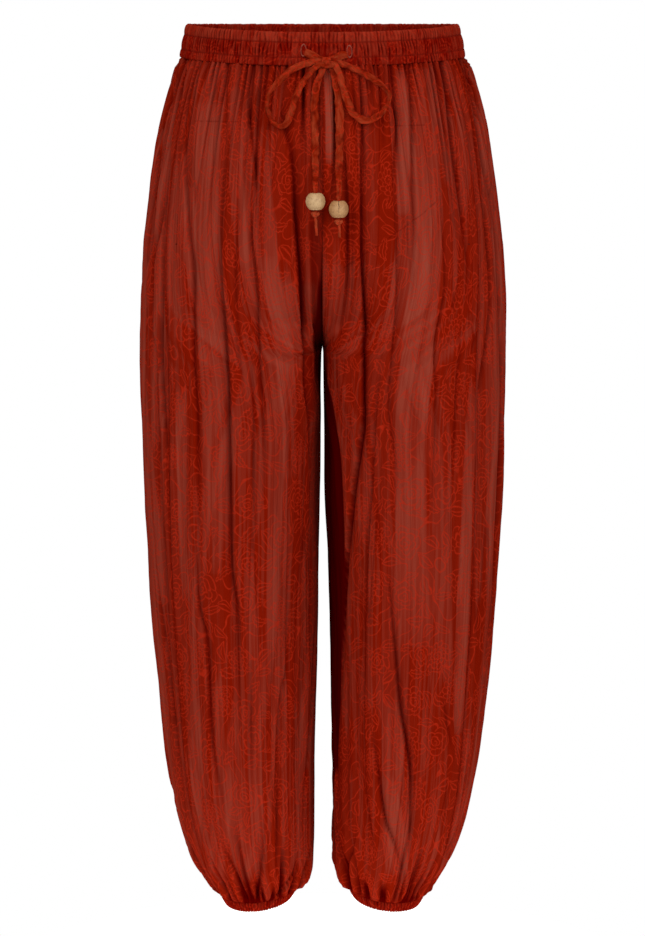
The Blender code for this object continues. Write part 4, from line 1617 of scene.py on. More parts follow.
            # The inside takes painted shade from its pleats.
            rings.append((self.ring(turn, level, inset), self.inside_shade * np.sqrt(hollow),
                         2.06 - share))
        shares = np.array([ring[2] for ring in rings + rings[-1:]])[:, None]
        # Painted light: some all round, more on the top channel, uneven.
        pale = self.paleness + self.top_paleness * ramp(shares, 0.66, 0.76) * (shares < 1.05)
        pale = pale + self.pale_uneven.at(turn[None, :], shares)
        piece = shirred_wall("elastic_casing", rings, (self.cut[0], self.height), pale, True)
        dress(piece, self.material, "casing", "waist_casing")
        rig.sheet(piece, flat=self.cut, held="gathered",
                 rests_on=["cloth_front_left", "cloth_front_right"])

    def sew(self) -> None:
        """Sews the rows of machine stitches between the channels."""
        turn = angles(self.waves) + TURN / self.waves / 2
        turn, share = (part.ravel() for part in np.meshgrid(turn, self.stitch_shares))
        lifted = self.relief(turn, share)[0] + self.stitch_lift
        here = self.ring(turn, share, lifted)
        piece = Stitching(*self.stitch).build(
            "casing_stitches", here, self.ring(turn + 0.004, share, lifted) - here,
            self.ring(turn, share, lifted + 0.001) - here)
        dress(piece, self.thread, "casing")


@dataclass
class AnkleCuff:
    """The elastic hem of one leg."""

    side: Side
    material: Material
    centre: float = 0.071
    half_width: float = 0.0415
    half_depth: float = 0.046
    top: float = -0.9308
    height: float = 0.012
    wall: float = 0.0026
    waves: int = 76
    columns_a_wave: int = 6
    puff: float = 0.0013
    gather: float = 0.0016
    taper: float = 0.0045
    scallop: float = 0.0009
    wander: Uneven = Uneven(0.8, (1 / 9, 1 / 1.4))
    pleat_depth: Uneven = Uneven(0.4, (1 / 20, 1), 1)
    inside: Uneven = Uneven(0.0002, (1 / 24, 1), 2)
    inside_shade: float = 0.6
    paleness: float = 0.12
    cut: Pair = (0.4, 0.014)

    def ring(self, turn: Array, share: float, reach: Array) -> Array:
        """Places round the cuff, which narrows towards its lower edge.

        Args:
            turn: Angles from the inseam.
            share: Share of the height, 0 at the lower edge.
            reach: Distances outside the smooth wall.

        Returns:
            The places.
        """
        reach = reach - self.taper * (1 - share) ** 1.5
        x = self.centre - (self.half_width + reach) * np.cos(turn)
        y = -(self.half_depth + reach) * np.sin(turn)
        z = self.top - self.height * (1 - share) + FORM.tilt(turn / TURN)
        return np.stack((self.side.value * x, y, z), axis=-1)

    def build(self) -> None:
        """Makes the cuff as one closed wall with a scalloped lower edge."""
        turn = angles(self.waves * self.columns_a_wave)
        seed = 30 if self.side is Side.LEFT else 50
        rings = []
        for share in np.linspace(0, 1, 12):
            wander = self.wander.at(turn, share, seed)
            wave = np.abs(np.sin(turn * self.waves / 2 + wander))
            depth = 2 * self.pleat_depth.strength + self.pleat_depth.at(turn, share, seed)
            pleat = (1 - wave ** 0.7) * depth
            reach = self.puff * math.sin(math.pi * share) ** 0.6 - self.gather * pleat
            places = self.ring(turn, share, reach)
            places[:, 2] -= (1 - share) ** 3 * self.scallop * (1 - pleat)
            # Painted shade in the pleats.
            rings.append((places, clip(pleat), share))
        for share in (1, 0.5, 0):
            inset = self.inside.at(turn, share, seed) - self.wall
            # The inside is painted in shade.
            rings.append((self.ring(turn, share, inset), np.full_like(turn, self.inside_shade),
                          2 - share))
        side = self.side.word
        # Painted light, the same all round.
        piece = shirred_wall(f"ankle_cuff_{side}", rings, (self.cut[0], self.height),
                             self.paleness, self.side is Side.RIGHT)
        dress(piece, self.material, "casing", f"cuff_{side}")
        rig.sheet(piece, flat=self.cut, held="gathered",
                 rests_on=[f"cloth_front_{side}", f"cloth_back_{side}"])


@dataclass
class Eyelet:
    """A worked buttonhole in the casing: close satin stitches round a slit."""

    side: Side
    casing: WaistCasing
    thread: Material
    centre_x: float
    share: float
    half_height: float = 0.006
    half_width: float = 0.002
    stitch: Pair = (0.0017, 0.0006)
    count: int = 34
    lift: float = 0.0005
    least_reach: float = 0.0008

    def build(self) -> None:
        """Lays the stitches round the slit, on the casing's face."""
        casing, phase = self.casing, angles(self.count)
        x = self.centre_x + (self.half_width + self.stitch[0] * 0.35) * np.sin(phase)
        turn = np.arcsin(x / casing.top_half_width) % TURN
        share = self.share + self.half_height * np.cos(phase) / casing.height
        lifted = np.maximum(casing.relief(turn, share)[0], self.least_reach) + self.lift
        places = casing.ring(turn, share, lifted)
        outward = unit(casing.ring(turn, share, lifted + 0.001) - places)
        along = places - places.mean(axis=0)
        along -= outward * (along * outward).sum(axis=1, keepdims=True)
        piece = Stitching(*self.stitch).build(f"eyelet_{self.side.word}", places, along, outward)
        dress(piece, self.thread, "casing")


# Drawstring


@dataclass
class Drawstring:
    """One half of the tie: out of an eyelet, through the bow, down through a bead to its end."""

    name: str
    # Each stretch's route, its width at its start, middle and end, and its twist.
    stretches: tuple[tuple[tuple[Place, ...], Triple, float], ...]
    twist_at: float
    replaces: tuple[str, ...]
    seed: int
    material: Material
    on_cord: list[Piece]
    width: float = 0.009
    thickness: float = 0.0017
    narrow_thickness: float = 0.62
    twist_length: float = 0.16
    step: float = 0.001
    fineness: int = 24
    around: int = 18
    wrinkle: Uneven = Uneven(0.35, (0.0042, 1 / 1.3))
    edge: Uneven = Uneven(0.2, (0.006, 1), 1)
    bends: tuple[Uneven, ...] = (Uneven(0.00065, (0.0058, 1 / 1.1), 2, 4),
                                 Uneven(0.0003, (0.0024, 1 / 1.6), 5, 9))
    # The strip bends less where it is narrower than this.
    bend_width: float = 0.008
    bend_shade: float = 0.0011
    edge_shade: float = 0.3
    most_hollow: float = 0.85
    paleness: float = 0.22
    pale_uneven: Uneven = Uneven(0.2, (0.011, 1), 3)
    end_paleness: float = 0.35
    pale_end: Pair = (0.022, 0.016)

    def __post_init__(self) -> None:
        """Samples a smooth curve through all the routes at even steps."""
        knots = []
        for route, widths, twist in self.stretches:
            share = np.linspace(0, 1, len(route))
            widths = np.interp(share, (0, 0.5, 1), widths)
            twists = twist * peak(share - self.twist_at, self.twist_length)
            knots.append(np.column_stack((route, widths, twists)))
        table = np.concatenate(knots)
        before, after = 2 * table[0] - table[1], 2 * table[-1] - table[-2]
        table = np.concatenate((before[None], table, after[None]))
        a, b, c, d = (table[k:len(table) - 3 + k, None, :] for k in range(4))
        t = (np.arange(self.fineness) / self.fineness)[None, :, None]
        fine = 0.5 * (2 * b + (c - a) * t + (2 * a - 5 * b + 4 * c - d) * t**2
                      + (3 * b - a - 3 * c + d) * t**3)
        fine = np.concatenate((fine.reshape(-1, 5), table[-2:-1]))
        along = travelled(fine[:, :3])
        even = np.linspace(0, along[-1], round(along[-1] / self.step) + 1)
        sampled = np.stack([np.interp(even, along, column) for column in fine.T], axis=1)
        self.path, self.widths, self.twists = sampled[:, :3], sampled[:, 3:4], sampled[:, 4:]

    def frames(self) -> tuple[Array, Array]:
        """Turns the strip's section along the path; untwisted, it faces the front.

        Returns:
            The directions of its width and of its thickness.
        """
        forward = unit(np.gradient(self.path, axis=0))
        facing = unit(FRONT - forward * (forward @ FRONT)[:, None])
        across = np.cross(forward, facing)
        cos, sin = np.cos(self.twists), np.sin(self.twists)
        return across * cos + facing * sin, facing * cos - across * sin

    def build(self) -> None:
        along = travelled(self.path)[:, None]
        turn = angles(self.around)[None, :]
        flat_x = squared(np.cos(turn), 0.8)
        wrinkle = self.wrinkle.at(along, flat_x, self.seed)
        edge = 1 + self.edge.at(along, np.sign(flat_x), self.seed)
        x = 0.5 * self.widths * edge * flat_x
        bend = sum(bend.at(along, flat_x, self.seed) for bend in self.bends)
        thickness = np.minimum(self.thickness, self.widths * self.narrow_thickness)
        z = (0.5 * thickness * squared(np.sin(turn), 0.75) * (1 + wrinkle)
             + bend * np.minimum(self.widths / self.bend_width, 1))
        # Painted shade in the wrinkles and bends and along the strip's edges.
        pressed = self.edge_shade * np.abs(flat_x) ** 10
        hollow = -self.wrinkle.strength * wrinkle - bend / self.bend_shade + pressed
        # Painted light: uneven, and paler towards the end.
        sheer = (self.paleness + self.pale_uneven.at(along, flat_x, self.seed)
                 + self.end_paleness * ramp(along[-1] - along, *self.pale_end))
        piece = make_cloth(self.name, sweep(self.path, *self.frames(), x, z), (x + 0.3, along),
                           sheer, np.clip(hollow, 0, self.most_hollow), closed=True)
        close_ends(piece)
        dress(piece, self.material, "cord", *self.replaces)
        length = float(along[-1, 0])
        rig.cord(piece, exit=self.stretches[0][0][0], length=round(length, 3),
                diameter=self.width, far_end="knot", stiffness="limp", lay="hanging",
                path=self.path.tolist(), with_pieces=self.on_cord)
        LOG.info("%s: %.0f mm long", self.name, length * 1000)


@dataclass
class BowKnot:
    """The knot of the bow: a strip wound over the crossing cords."""

    material: Material
    centre: Place = (0.0049, -0.112, -0.0204)
    size: Triple = (0.011, 0.0094, 0.0086)
    around: int = 16
    windings: Pair = (-0.175, 1.025)
    # Half the strip's thickness: at the start of the winding, and what a turn takes off it.
    spread_in: Pair = (0.0012, 0.0004)
    rise_in: Pair = (0.001, 0.0003)
    slant: float = 0.0022
    slant_middle: float = 0.42
    half_thickness: float = 0.0011
    fold: Uneven = Uneven(0.00045, (1 / 2.4, 1 / 1.3), 71)
    fold_shade: float = 0.0006

    def build(self) -> Piece:
        """Makes the winding, tilted a little, and closes its ends.

        Returns:
            The knot.
        """
        wound = np.linspace(*self.windings, 90)
        turn = wound * TURN
        spread, rise = (size / 2 - inset + growth * wound for size, (inset, growth)
                        in zip(self.size[1:], (self.spread_in, self.rise_in)))
        arm = np.stack((0 * turn, -spread * np.cos(turn), rise * np.sin(turn)), axis=1)
        path = np.array(self.centre) + arm
        path[:, 0] += self.slant * (wound - self.slant_middle)
        radial = unit(arm)
        across = np.cross(unit(np.gradient(path, axis=0)), radial)
        ring = angles(self.around)[None, :]
        turn = turn[:, None]
        x = 0.5 * self.size[0] * (0.8 + 0.14 * np.cos(turn + 0.6)) * np.cos(ring)
        fold = self.fold.at(np.cos(ring), turn)
        z = self.half_thickness * squared(np.sin(ring), 0.75) + fold
        # Painted shade where the strip dents in, and a little painted light all over.
        piece = make_cloth("tie_knot", sweep(path, across, radial, x, z), (x + 0.35, turn * 0.005),
                           0.2, np.clip(-fold / self.fold_shade, 0, 0.8), closed=True)
        close_ends(piece)
        return dress(piece, self.material, "cord", "bow_knot")


@dataclass
class EndKnot:
    """A small overhand knot that keeps a bead on its cord."""

    side: Side
    centre: Place
    material: Material
    size: Triple = (0.0094, 0.0074, 0.0068)
    strand: float = 0.0018
    strand_uneven: Uneven = Uneven(0.14, (1, 1), 81)
    around: int = 12
    first_turns: Pair = (0.4, 1.3)

    def build(self) -> Piece:
        """Makes the closed overhand curve as a round strand.

        Returns:
            The knot.
        """
        turn = np.linspace(0, TURN, 121) + self.first_turns[self.side is Side.RIGHT]
        curve = np.stack((np.sin(turn) + 2 * np.sin(2 * turn), -np.sin(3 * turn) * 1.5,
                          np.cos(turn) - 2 * np.cos(2 * turn)), axis=1)
        half = (np.array(self.size) / 2 - self.strand) / np.abs(curve).max(axis=0)
        path = curve * half
        forward = np.gradient(np.concatenate((path[-2:-1], path, path[1:2])), axis=0)[1:-1]
        side = unit(np.cross(unit(forward), -FRONT))
        up = np.cross(side, unit(forward))
        ring = angles(self.around)[None, :]
        round_it = np.stack((np.sin(turn), np.cos(turn)), axis=1) * 3
        uneven = self.strand_uneven.at(round_it[:, :1] + ring, round_it[:, 1:])
        radius = self.strand * (1 + uneven)
        points = sweep(path + self.centre, side, up, radius * np.cos(ring), radius * np.sin(ring))
        flat = (ring * self.strand + 0.4, turn[:, None] * 0.004)
        # Painted light makes the knot paler than the cord.
        piece = make_cloth(f"end_knot_cloth_{self.side.word}", points, flat, 0.8, 0, closed=True)
        edit(piece, remove_doubles={"threshold": 1e-6}, normals_make_consistent={"inside": False})
        return dress(piece, self.material, "cord", f"end_knot_{self.side.word}")


@dataclass
class WoodenBead:
    """A round bead, turned flat at both ends and bored through."""

    side: Side
    centre: Place
    material: Material
    width: float = 0.0203
    height: float = 0.0172
    cut: float = 0.0083
    bore: float = 0.0054
    edge_rounding: float = 0.0012

    def build(self) -> Piece:
        """Cuts a ball flat at its ends, stretches it to a barrel, bores it and rounds its edges.

        Returns:
            The bead.
        """
        pick()
        bpy.ops.mesh.primitive_uv_sphere_add(segments=48, ring_count=24, radius=self.width / 2)
        piece = bpy.context.object
        piece.name = f"wooden_bead_{self.side.word}"
        for up in (1, -1):
            edit(piece, bisect={"plane_co": (0, 0, up * self.cut), "clear_outer": True,
                                "plane_no": (0, 0, up), "use_fill": True})
        piece.scale = (1, 1, self.height / 2 / self.cut)
        piece.location = self.centre
        bpy.ops.object.transform_apply(location=True, scale=True)
        for group in (piece.data.vertices, piece.data.edges, piece.data.polygons):
            group.foreach_set("select", [False] * len(group))
        for face in piece.data.polygons:
            face.select = len(face.vertices) > 8
        bpy.ops.object.mode_set(mode="EDIT")
        bpy.ops.mesh.select_mode(type="FACE")
        end_radius = math.sqrt((self.width / 2) ** 2 - self.cut**2)
        bpy.ops.mesh.inset(thickness=end_radius - self.bore / 2)
        bpy.ops.mesh.bridge_edge_loops()
        bpy.ops.object.mode_set(mode="OBJECT")
        edit(piece, normals_make_consistent={"inside": False})
        apply_modifier(piece, "BEVEL", width=self.edge_rounding, segments=3,
                       angle_limit=math.radians(24))
        piece.data.shade_smooth()
        return dress(piece, self.material, "bead_wood", f"bead_{self.side.word}")


LEAD_LEFT = ((0.0254, -0.1056, -0.013), (0.022, -0.1066, -0.014), (0.018, -0.1078, -0.0156),
             (0.0144, -0.109, -0.0173), (0.0122, -0.1096, -0.0178), (0.0107, -0.1096, -0.0178))
LEAD_RIGHT = ((-0.0183, -0.1063, -0.0116), (-0.015, -0.1069, -0.0126), (-0.01, -0.108, -0.0147),
              (-0.005, -0.1092, -0.0172), (-0.0024, -0.1096, -0.0178), (-0.0009, -0.1096, -0.0178))
LOOP_LEFT = ((0.0107, -0.1126, -0.0206), (0.0127, -0.1126, -0.0206), (0.021, -0.113, -0.0232),
             (0.034, -0.1134, -0.0286), (0.05, -0.1142, -0.0374), (0.062, -0.1152, -0.046),
             (0.0688, -0.1162, -0.0546), (0.0672, -0.1172, -0.064), (0.059, -0.1182, -0.0746),
             (0.0486, -0.119, -0.0808), (0.0382, -0.1192, -0.0788), (0.0302, -0.1192, -0.0706),
             (0.0242, -0.119, -0.057), (0.0194, -0.1184, -0.041), (0.016, -0.1172, -0.0294),
             (0.0127, -0.1157, -0.024), (0.0107, -0.1157, -0.024))
LOOP_RIGHT = ((-0.0009, -0.1126, -0.0206), (-0.0029, -0.1126, -0.0206), (-0.01, -0.1128, -0.021),
              (-0.021, -0.113, -0.0236), (-0.033, -0.1134, -0.0296), (-0.0446, -0.1144, -0.04),
              (-0.0544, -0.1158, -0.0524), (-0.0568, -0.1172, -0.066), (-0.0534, -0.1182, -0.0786),
              (-0.0446, -0.119, -0.0864), (-0.0366, -0.1192, -0.0826), (-0.032, -0.1192, -0.0716),
              (-0.0274, -0.119, -0.0576), (-0.0208, -0.1184, -0.043), (-0.0114, -0.1174, -0.0304),
              (-0.0029, -0.1157, -0.024), (-0.0009, -0.1157, -0.024))
TAIL_LEFT = ((0.0094, -0.1114, -0.0252), (0.0094, -0.1114, -0.027), (0.011, -0.1124, -0.033),
             (0.0146, -0.1146, -0.048), (0.0172, -0.117, -0.066), (0.0178, -0.1192, -0.088),
             (0.0172, -0.1212, -0.112), (0.0167, -0.1242, -0.136), (0.0167, -0.1294, -0.153),
             (0.0167, -0.131, -0.1594), (0.0167, -0.131, -0.1614))
TAIL_RIGHT = ((0.0004, -0.1114, -0.0252), (0.0004, -0.1114, -0.027), (-0.0016, -0.1124, -0.033),
              (-0.0062, -0.1144, -0.045), (-0.0084, -0.1168, -0.063), (-0.008, -0.1192, -0.084),
              (-0.0074, -0.121, -0.106), (-0.0072, -0.124, -0.128), (-0.0072, -0.1292, -0.145),
              (-0.0072, -0.1308, -0.1515), (-0.0072, -0.1308, -0.1535))
BEAD_LEFT = (0.0167, -0.131, -0.1713)
BEAD_RIGHT = (-0.0072, -0.1308, -0.1634)
END_LEFT = (BEAD_LEFT, (0.0167, -0.131, -0.18), (0.0167, -0.131, -0.1868),
            (0.0172, -0.1304, -0.1915), (0.0176, -0.13, -0.196), (0.0179, -0.1295, -0.2007))
END_RIGHT = (BEAD_RIGHT, (-0.0072, -0.1308, -0.172), (-0.0072, -0.1308, -0.179),
             (-0.0068, -0.1303, -0.185), (-0.0064, -0.1298, -0.192), (-0.006, -0.1293, -0.1988))


@dataclass
class Tie:
    """The whole drawstring with its bow, beads and end knots."""

    cloth: Material
    woods: dict[Side, Material]
    knot_below_bead: float = 0.0132
    lead: Pair = (0.0072, 0.0082)
    loop: float = 0.0088
    tails: Pair = (0.009, 0.0082)
    narrow: float = 0.0058
    in_bead: float = 0.004
    past_bead: float = 0.0038
    tip: float = 0.0026
    loop_twist: float = 1.15

    def build(self) -> None:
        """Makes the knots and beads, then the two cords that carry them."""
        cloth, knot = self.cloth, BowKnot(self.cloth).build()
        halves = ((Side.LEFT, BEAD_LEFT, (LEAD_LEFT, LOOP_RIGHT, TAIL_LEFT, END_LEFT), "right",
                   0.47, 60), (Side.RIGHT, BEAD_RIGHT, (LEAD_RIGHT, LOOP_LEFT, TAIL_RIGHT,
                                                       END_RIGHT), "left", 0.42, 64))
        for (side, bead, routes, loop, twist_at, seed), tail in zip(halves, self.tails):
            below = (*bead[:2], bead[2] - self.knot_below_bead)
            on_cord = [WoodenBead(side, bead, self.woods[side]).build(),
                       EndKnot(side, below, cloth).build()]
            widths = ((*self.lead, self.narrow), (self.narrow, self.loop, self.narrow),
                      (self.narrow, tail, self.in_bead), (self.in_bead, self.past_bead, self.tip))
            twists = (0, side.value * self.loop_twist, 0, 0)
            stretches = tuple(zip(routes, widths, twists))
            nodes = (f"drawstring_lead_{side.word}", f"bow_loop_{loop}",
                     f"drawstring_tail_{side.word}", f"drawstring_end_{side.word}")
            if side is Side.LEFT:
                on_cord.insert(0, knot)
            Drawstring(f"tie_{side.word}", stretches, twist_at, nodes, seed, cloth,
                       on_cord).build()


# The garment

_, OUTER, INNER = Lap

FRONT_RIGHT_CREASES = tuple(Crease(*row) for row in (
    (14, 4.4, (16, 26, 71, 24, 127, 17, 184, 15, 265, 13, 300, 15, 323, 22, 358, 25.5, 405, 23,
     544, 19.5, 690, 15), OUTER),
    (9.5, 3.6, (90, 58, 225, 58, 308, 63, 367, 66, 543, 66, 609, 63, 750, 64), INNER),
    (7.5, 2.6, (16, 48, 48, 47.5, 82, 44, 137, 38, 230, 36), OUTER),
    (6.8, 2.6, (120, 42, 185, 39, 265, 38.5, 317, 46, 413, 50, 490, 50.5), INNER),
    (4.2, 2, (150, 47, 251, 51, 345, 58)),
    (5.5, 2.4, (300, 50, 383, 55, 442, 56, 530, 54)),
    (6, 2.4, (16, 66, 51, 62.5, 105, 57), INNER),
    (7.5, 3.4, (40, 100, 134, 88, 202, 81, 240, 79, 318, 83.5, 415, 84, 560, 84), OUTER),
    (6.5, 2.4, (16, 94, 60, 94, 120, 92.5, 165, 94), INNER),
    (6, 3.4, (190, 7, 265, 5, 335, 9, 420, 12)),
    (8, 3.4, (520, 86, 594, 84, 630, 80.5, 745, 80, 830, 75), OUTER),
    (5, 2.4, (640, 57.4, 710, 57.3, 800, 58), INNER),
    (7.5, 3, (520, 36.5, 665, 36, 700, 41, 747, 43, 830, 45), OUTER),
    (7, 3.4, (620, 10, 700, 11, 800, 18, 860, 22), INNER),
    (9, 4, (820, 52, 860, 53, 903, 60, 928, 66), INNER),
    (7.5, 3, (770, 41, 820, 43, 863, 45, 900, 48), OUTER),
    (9, 3.6, (870, 26, 895, 30, 912, 41, 930, 53), INNER),
    (9, 4.4, (850, 81, 870, 79, 889, 75, 925, 74), OUTER),
    (5, 3.2, (16, 3, 120, 2.5, 250, 3)),
    (4.5, 2.4, (30, 12, 110, 10, 200, 8))))

FRONT_LEFT_CREASES = tuple(Crease(*row) for row in (
    (12.5, 3.6, (16, 23.5, 75, 23, 150, 21, 205, 20.5, 281, 26, 321, 34.5, 372, 39.5, 424, 38, 485,
     32.5, 594, 25, 720, 19), INNER),
    (8, 3.2, (105, 11.5, 170, 13, 235, 13.8, 310, 14.5)),
    (7, 2.8, (300, 43, 388, 47.5, 457, 45.5, 525, 43, 666, 41, 728, 40.5, 840, 42), OUTER),
    (10, 3.6, (550, 53, 624, 56.5, 693, 60, 786, 67.5, 841, 70, 885, 73.5), INNER),
    (7.2, 2.6, (16, 44, 48, 42, 85, 44, 140, 40, 180, 40), INNER),
    (5.6, 2.6, (120, 42, 243, 42.5, 319, 50, 380, 53, 455, 57.5, 520, 54), INNER),
    (7.8, 2.6, (16, 62, 90, 54.5, 143, 52, 206, 51.5, 290, 56), OUTER),
    (7, 2.2, (16, 84, 35, 83, 80, 81), OUTER),
    (9, 3.2, (16, 93, 51, 89.5, 91, 85, 148, 86, 188, 87, 245, 92, 320, 96), OUTER),
    (5.5, 2.2, (16, 31, 61, 30, 90, 31)),
    (5.5, 2.6, (130, 15.5, 230, 16, 300, 20), INNER),
    (6, 2.8, (16, 7, 89, 7.2, 190, 5)),
    (3.5, 2, (160, 48.5, 200, 47, 240, 51)),
    (5.2, 2.4, (120, 70, 194, 69, 250, 73, 320, 73, 387, 77, 500, 75), INNER),
    (4.5, 2.8, (290, 88, 388, 88, 470, 86)),
    (8, 3.2, (730, 45, 780, 49, 829, 54, 856, 61, 890, 70), INNER),
    (5.5, 2.6, (780, 38, 820, 43, 870, 49)),
    (4.5, 2.8, (690, 85, 720, 88, 755, 93)),
    (11, 4.6, (845, 34, 864, 33, 888, 29, 928, 29), OUTER),
    (7, 3, (865, 70, 882, 71, 925, 75)),
    (9.5, 4.4, (865, 81, 883, 81, 928, 83), INNER),
    (6.5, 3.6, (600, 10, 700, 8, 830, 16), INNER)))

BACK_RIGHT_CREASES = tuple(Crease(*row) for row in (
    (9, 3, (16, 8.5, 52, 3, 110, 2), INNER),
    (8.5, 3.6, (40, 20, 89, 16.5, 149, 10, 203, 8.6, 260, 13), INNER),
    (9.5, 3.4, (120, 3, 188, 3.5, 236, 6.5, 319, 7), INNER),
    (9, 3.4, (290, 8.5, 335, 4.5, 441, 3, 608, 2.5, 720, 5), INNER),
    (9.5, 3.8, (16, 27, 160, 29, 330, 26, 520, 27), OUTER),
    (8.5, 3.6, (60, 20, 260, 21, 480, 19, 640, 21), INNER),
    (7.5, 3, (16, 36, 120, 37, 300, 35)),
    (8.5, 3.6, (90, 44, 300, 45.5, 520, 43, 640, 44), OUTER),
    (7.5, 2.8, (16, 53, 100, 54, 240, 52), INNER),
    (10.5, 4, (150, 60, 380, 58.5, 600, 61, 740, 59), INNER),
    (7.5, 3, (16, 68, 160, 69, 330, 67), OUTER),
    (8.5, 3.4, (90, 77, 280, 75.5, 480, 78)),
    (7, 2.8, (16, 85, 120, 86, 260, 84), INNER),
    (9, 3.6, (110, 92, 350, 90, 610, 92), OUTER),
    (7.5, 3.2, (560, 33, 700, 35, 840, 32), OUTER),
    (7.5, 3.4, (640, 72, 760, 70, 880, 74), INNER),
    (8.5, 3.6, (740, 15, 820, 17, 925, 14), OUTER),
    (9.5, 4, (800, 48, 860, 50, 928, 53), INNER),
    (8.5, 3.6, (830, 85, 880, 83, 928, 86))))

BACK_LEFT_CREASES = tuple(Crease(*row) for row in (
    (8.5, 3.2, (16, 12, 67, 10.5, 105, 9, 157, 11, 240, 19), OUTER),
    (6, 2.6, (70, 7.5, 125, 8.5, 170, 10)),
    (6, 3, (760, 3.5, 800, 3, 840, 4)),
    (7.5, 3, (16, 19, 110, 20, 260, 23), INNER),
    (10, 4, (130, 29, 360, 31, 560, 28, 700, 30), OUTER),
    (7.5, 3, (16, 37, 120, 36, 310, 38), INNER),
    (8.5, 3.4, (80, 45.5, 260, 44, 450, 46)),
    (7, 2.8, (16, 54, 130, 55, 240, 53), OUTER),
    (10, 3.8, (110, 62.5, 330, 64, 520, 61, 660, 63), INNER),
    (7.5, 3, (16, 71, 140, 70, 290, 72)),
    (9, 3.6, (95, 79, 300, 80, 540, 78), OUTER),
    (7, 2.8, (16, 87, 120, 88, 270, 86), INNER),
    (7, 3, (75, 95, 220, 94, 380, 95)),
    (8, 3.6, (340, 14, 520, 12, 700, 15), INNER),
    (7.5, 3.2, (620, 46, 740, 48, 860, 45), OUTER),
    (8, 3.4, (690, 71, 790, 73, 900, 70), INNER),
    (9, 3.8, (790, 22, 860, 20, 928, 24), OUTER),
    (9, 3.6, (830, 60, 880, 58, 928, 57)),
    (8, 3.6, (780, 90, 860, 88, 925, 89), INNER)))

# Streaks of painted light on the leg panels, as if light showed through the cloth; a negative strength paints a darker
# band.
FRONT_RIGHT_LIGHT_PATCHES = tuple(Veil(*row) for row in (
    (25, 0.28, (85, 33, 200, 32, 345, 30)),
    (30, -0.5, (-30, 17, 60, 16.5, 130, 13, 250, 9)),
    (17, 0.42, (60, 74, 160, 70, 300, 71, 480, 72, 560, 73)),
    (7, 0.35, (150, 83, 210, 80, 280, 77)),
    (7, 0.45, (360, 92, 410, 93, 520, 93, 590, 92)),
    (8, 0.35, (40, 55, 120, 50, 230, 45)),
    (10, 0.3, (220, 30, 340, 36, 460, 36)),
    (15, 0.14, (770, 68, 864, 68, 900, 66))))

FRONT_LEFT_LIGHT_PATCHES = tuple(Veil(*row) for row in (
    (42, -0.5, (-30, 24, 60, 23.5, 130, 21, 230, 20)),
    (4.5, 1.3, (15, 3.6, 67, 3.9, 127, 3.7)),
    (7, 0.55, (20, 52, 90, 48, 180, 45)),
    (18, 0.46, (20, 67, 110, 60, 180, 61, 300, 63, 420, 65, 640, 68)),
    (9, 0.52, (350, 100, 372, 99, 492, 95, 590, 94.5, 740, 96)),
    (10, 0.3, (780, 53, 830, 60, 890, 68)),
    (8, 0.3, (20, 77, 80, 73, 150, 77))))

BACK_LIGHT_PATCHES = tuple(Veil(*row) for row in (
    (16, 0.34, (60, 33, 300, 32, 600, 35)),
    (18, 0.36, (40, 62, 260, 66, 540, 66)),
    (13, 0.32, (300, 50, 500, 52, 760, 51)),
    (14, 0.3, (120, 85, 360, 84, 600, 86))))

# Painted shadows: the cleft above the crotch and the inner leg that faces the other leg.
FRONT_RIGHT_SHADES = (
    Shade((165, 7, 214, 6.8, 278, 5.7, 321, 10.5, 353, 13.2, 372, 9, 388, 0), 0.6),
    Shade((225, 2.8, 278, 3.6, 321, 7, 353, 9, 380, 0), 1, soft=0.005),
    Shade((280, 15.8, 349, 25.6, 398, 24.1, 446, 22, 554, 18.8, 688, 15.9, 778, 14.5, 882, 10, 910,
     0), 0.35, (300, 12.1, 321, 15, 352, 17.8, 374, 10.9, 388, -5)))

FRONT_LEFT_SHADES = (
    Shade((322, 0, 330, 3, 353, 12, 375, 18.5, 400, 22.8, 432, 26, 464, 27.2, 551, 27.4, 618, 24.1,
     686, 20.2, 755, 16, 815, 10.6, 892, 0), 1),)

# Press creases, each drawn as a line of painted shade.
PRESS_CREASES = (((0.5, -0.082), (0.585, -0.0815)), ((0.128, -0.086), (0.178, -0.0855)),
                 ((0.0425, -0.236), (0.1925, -0.162)))


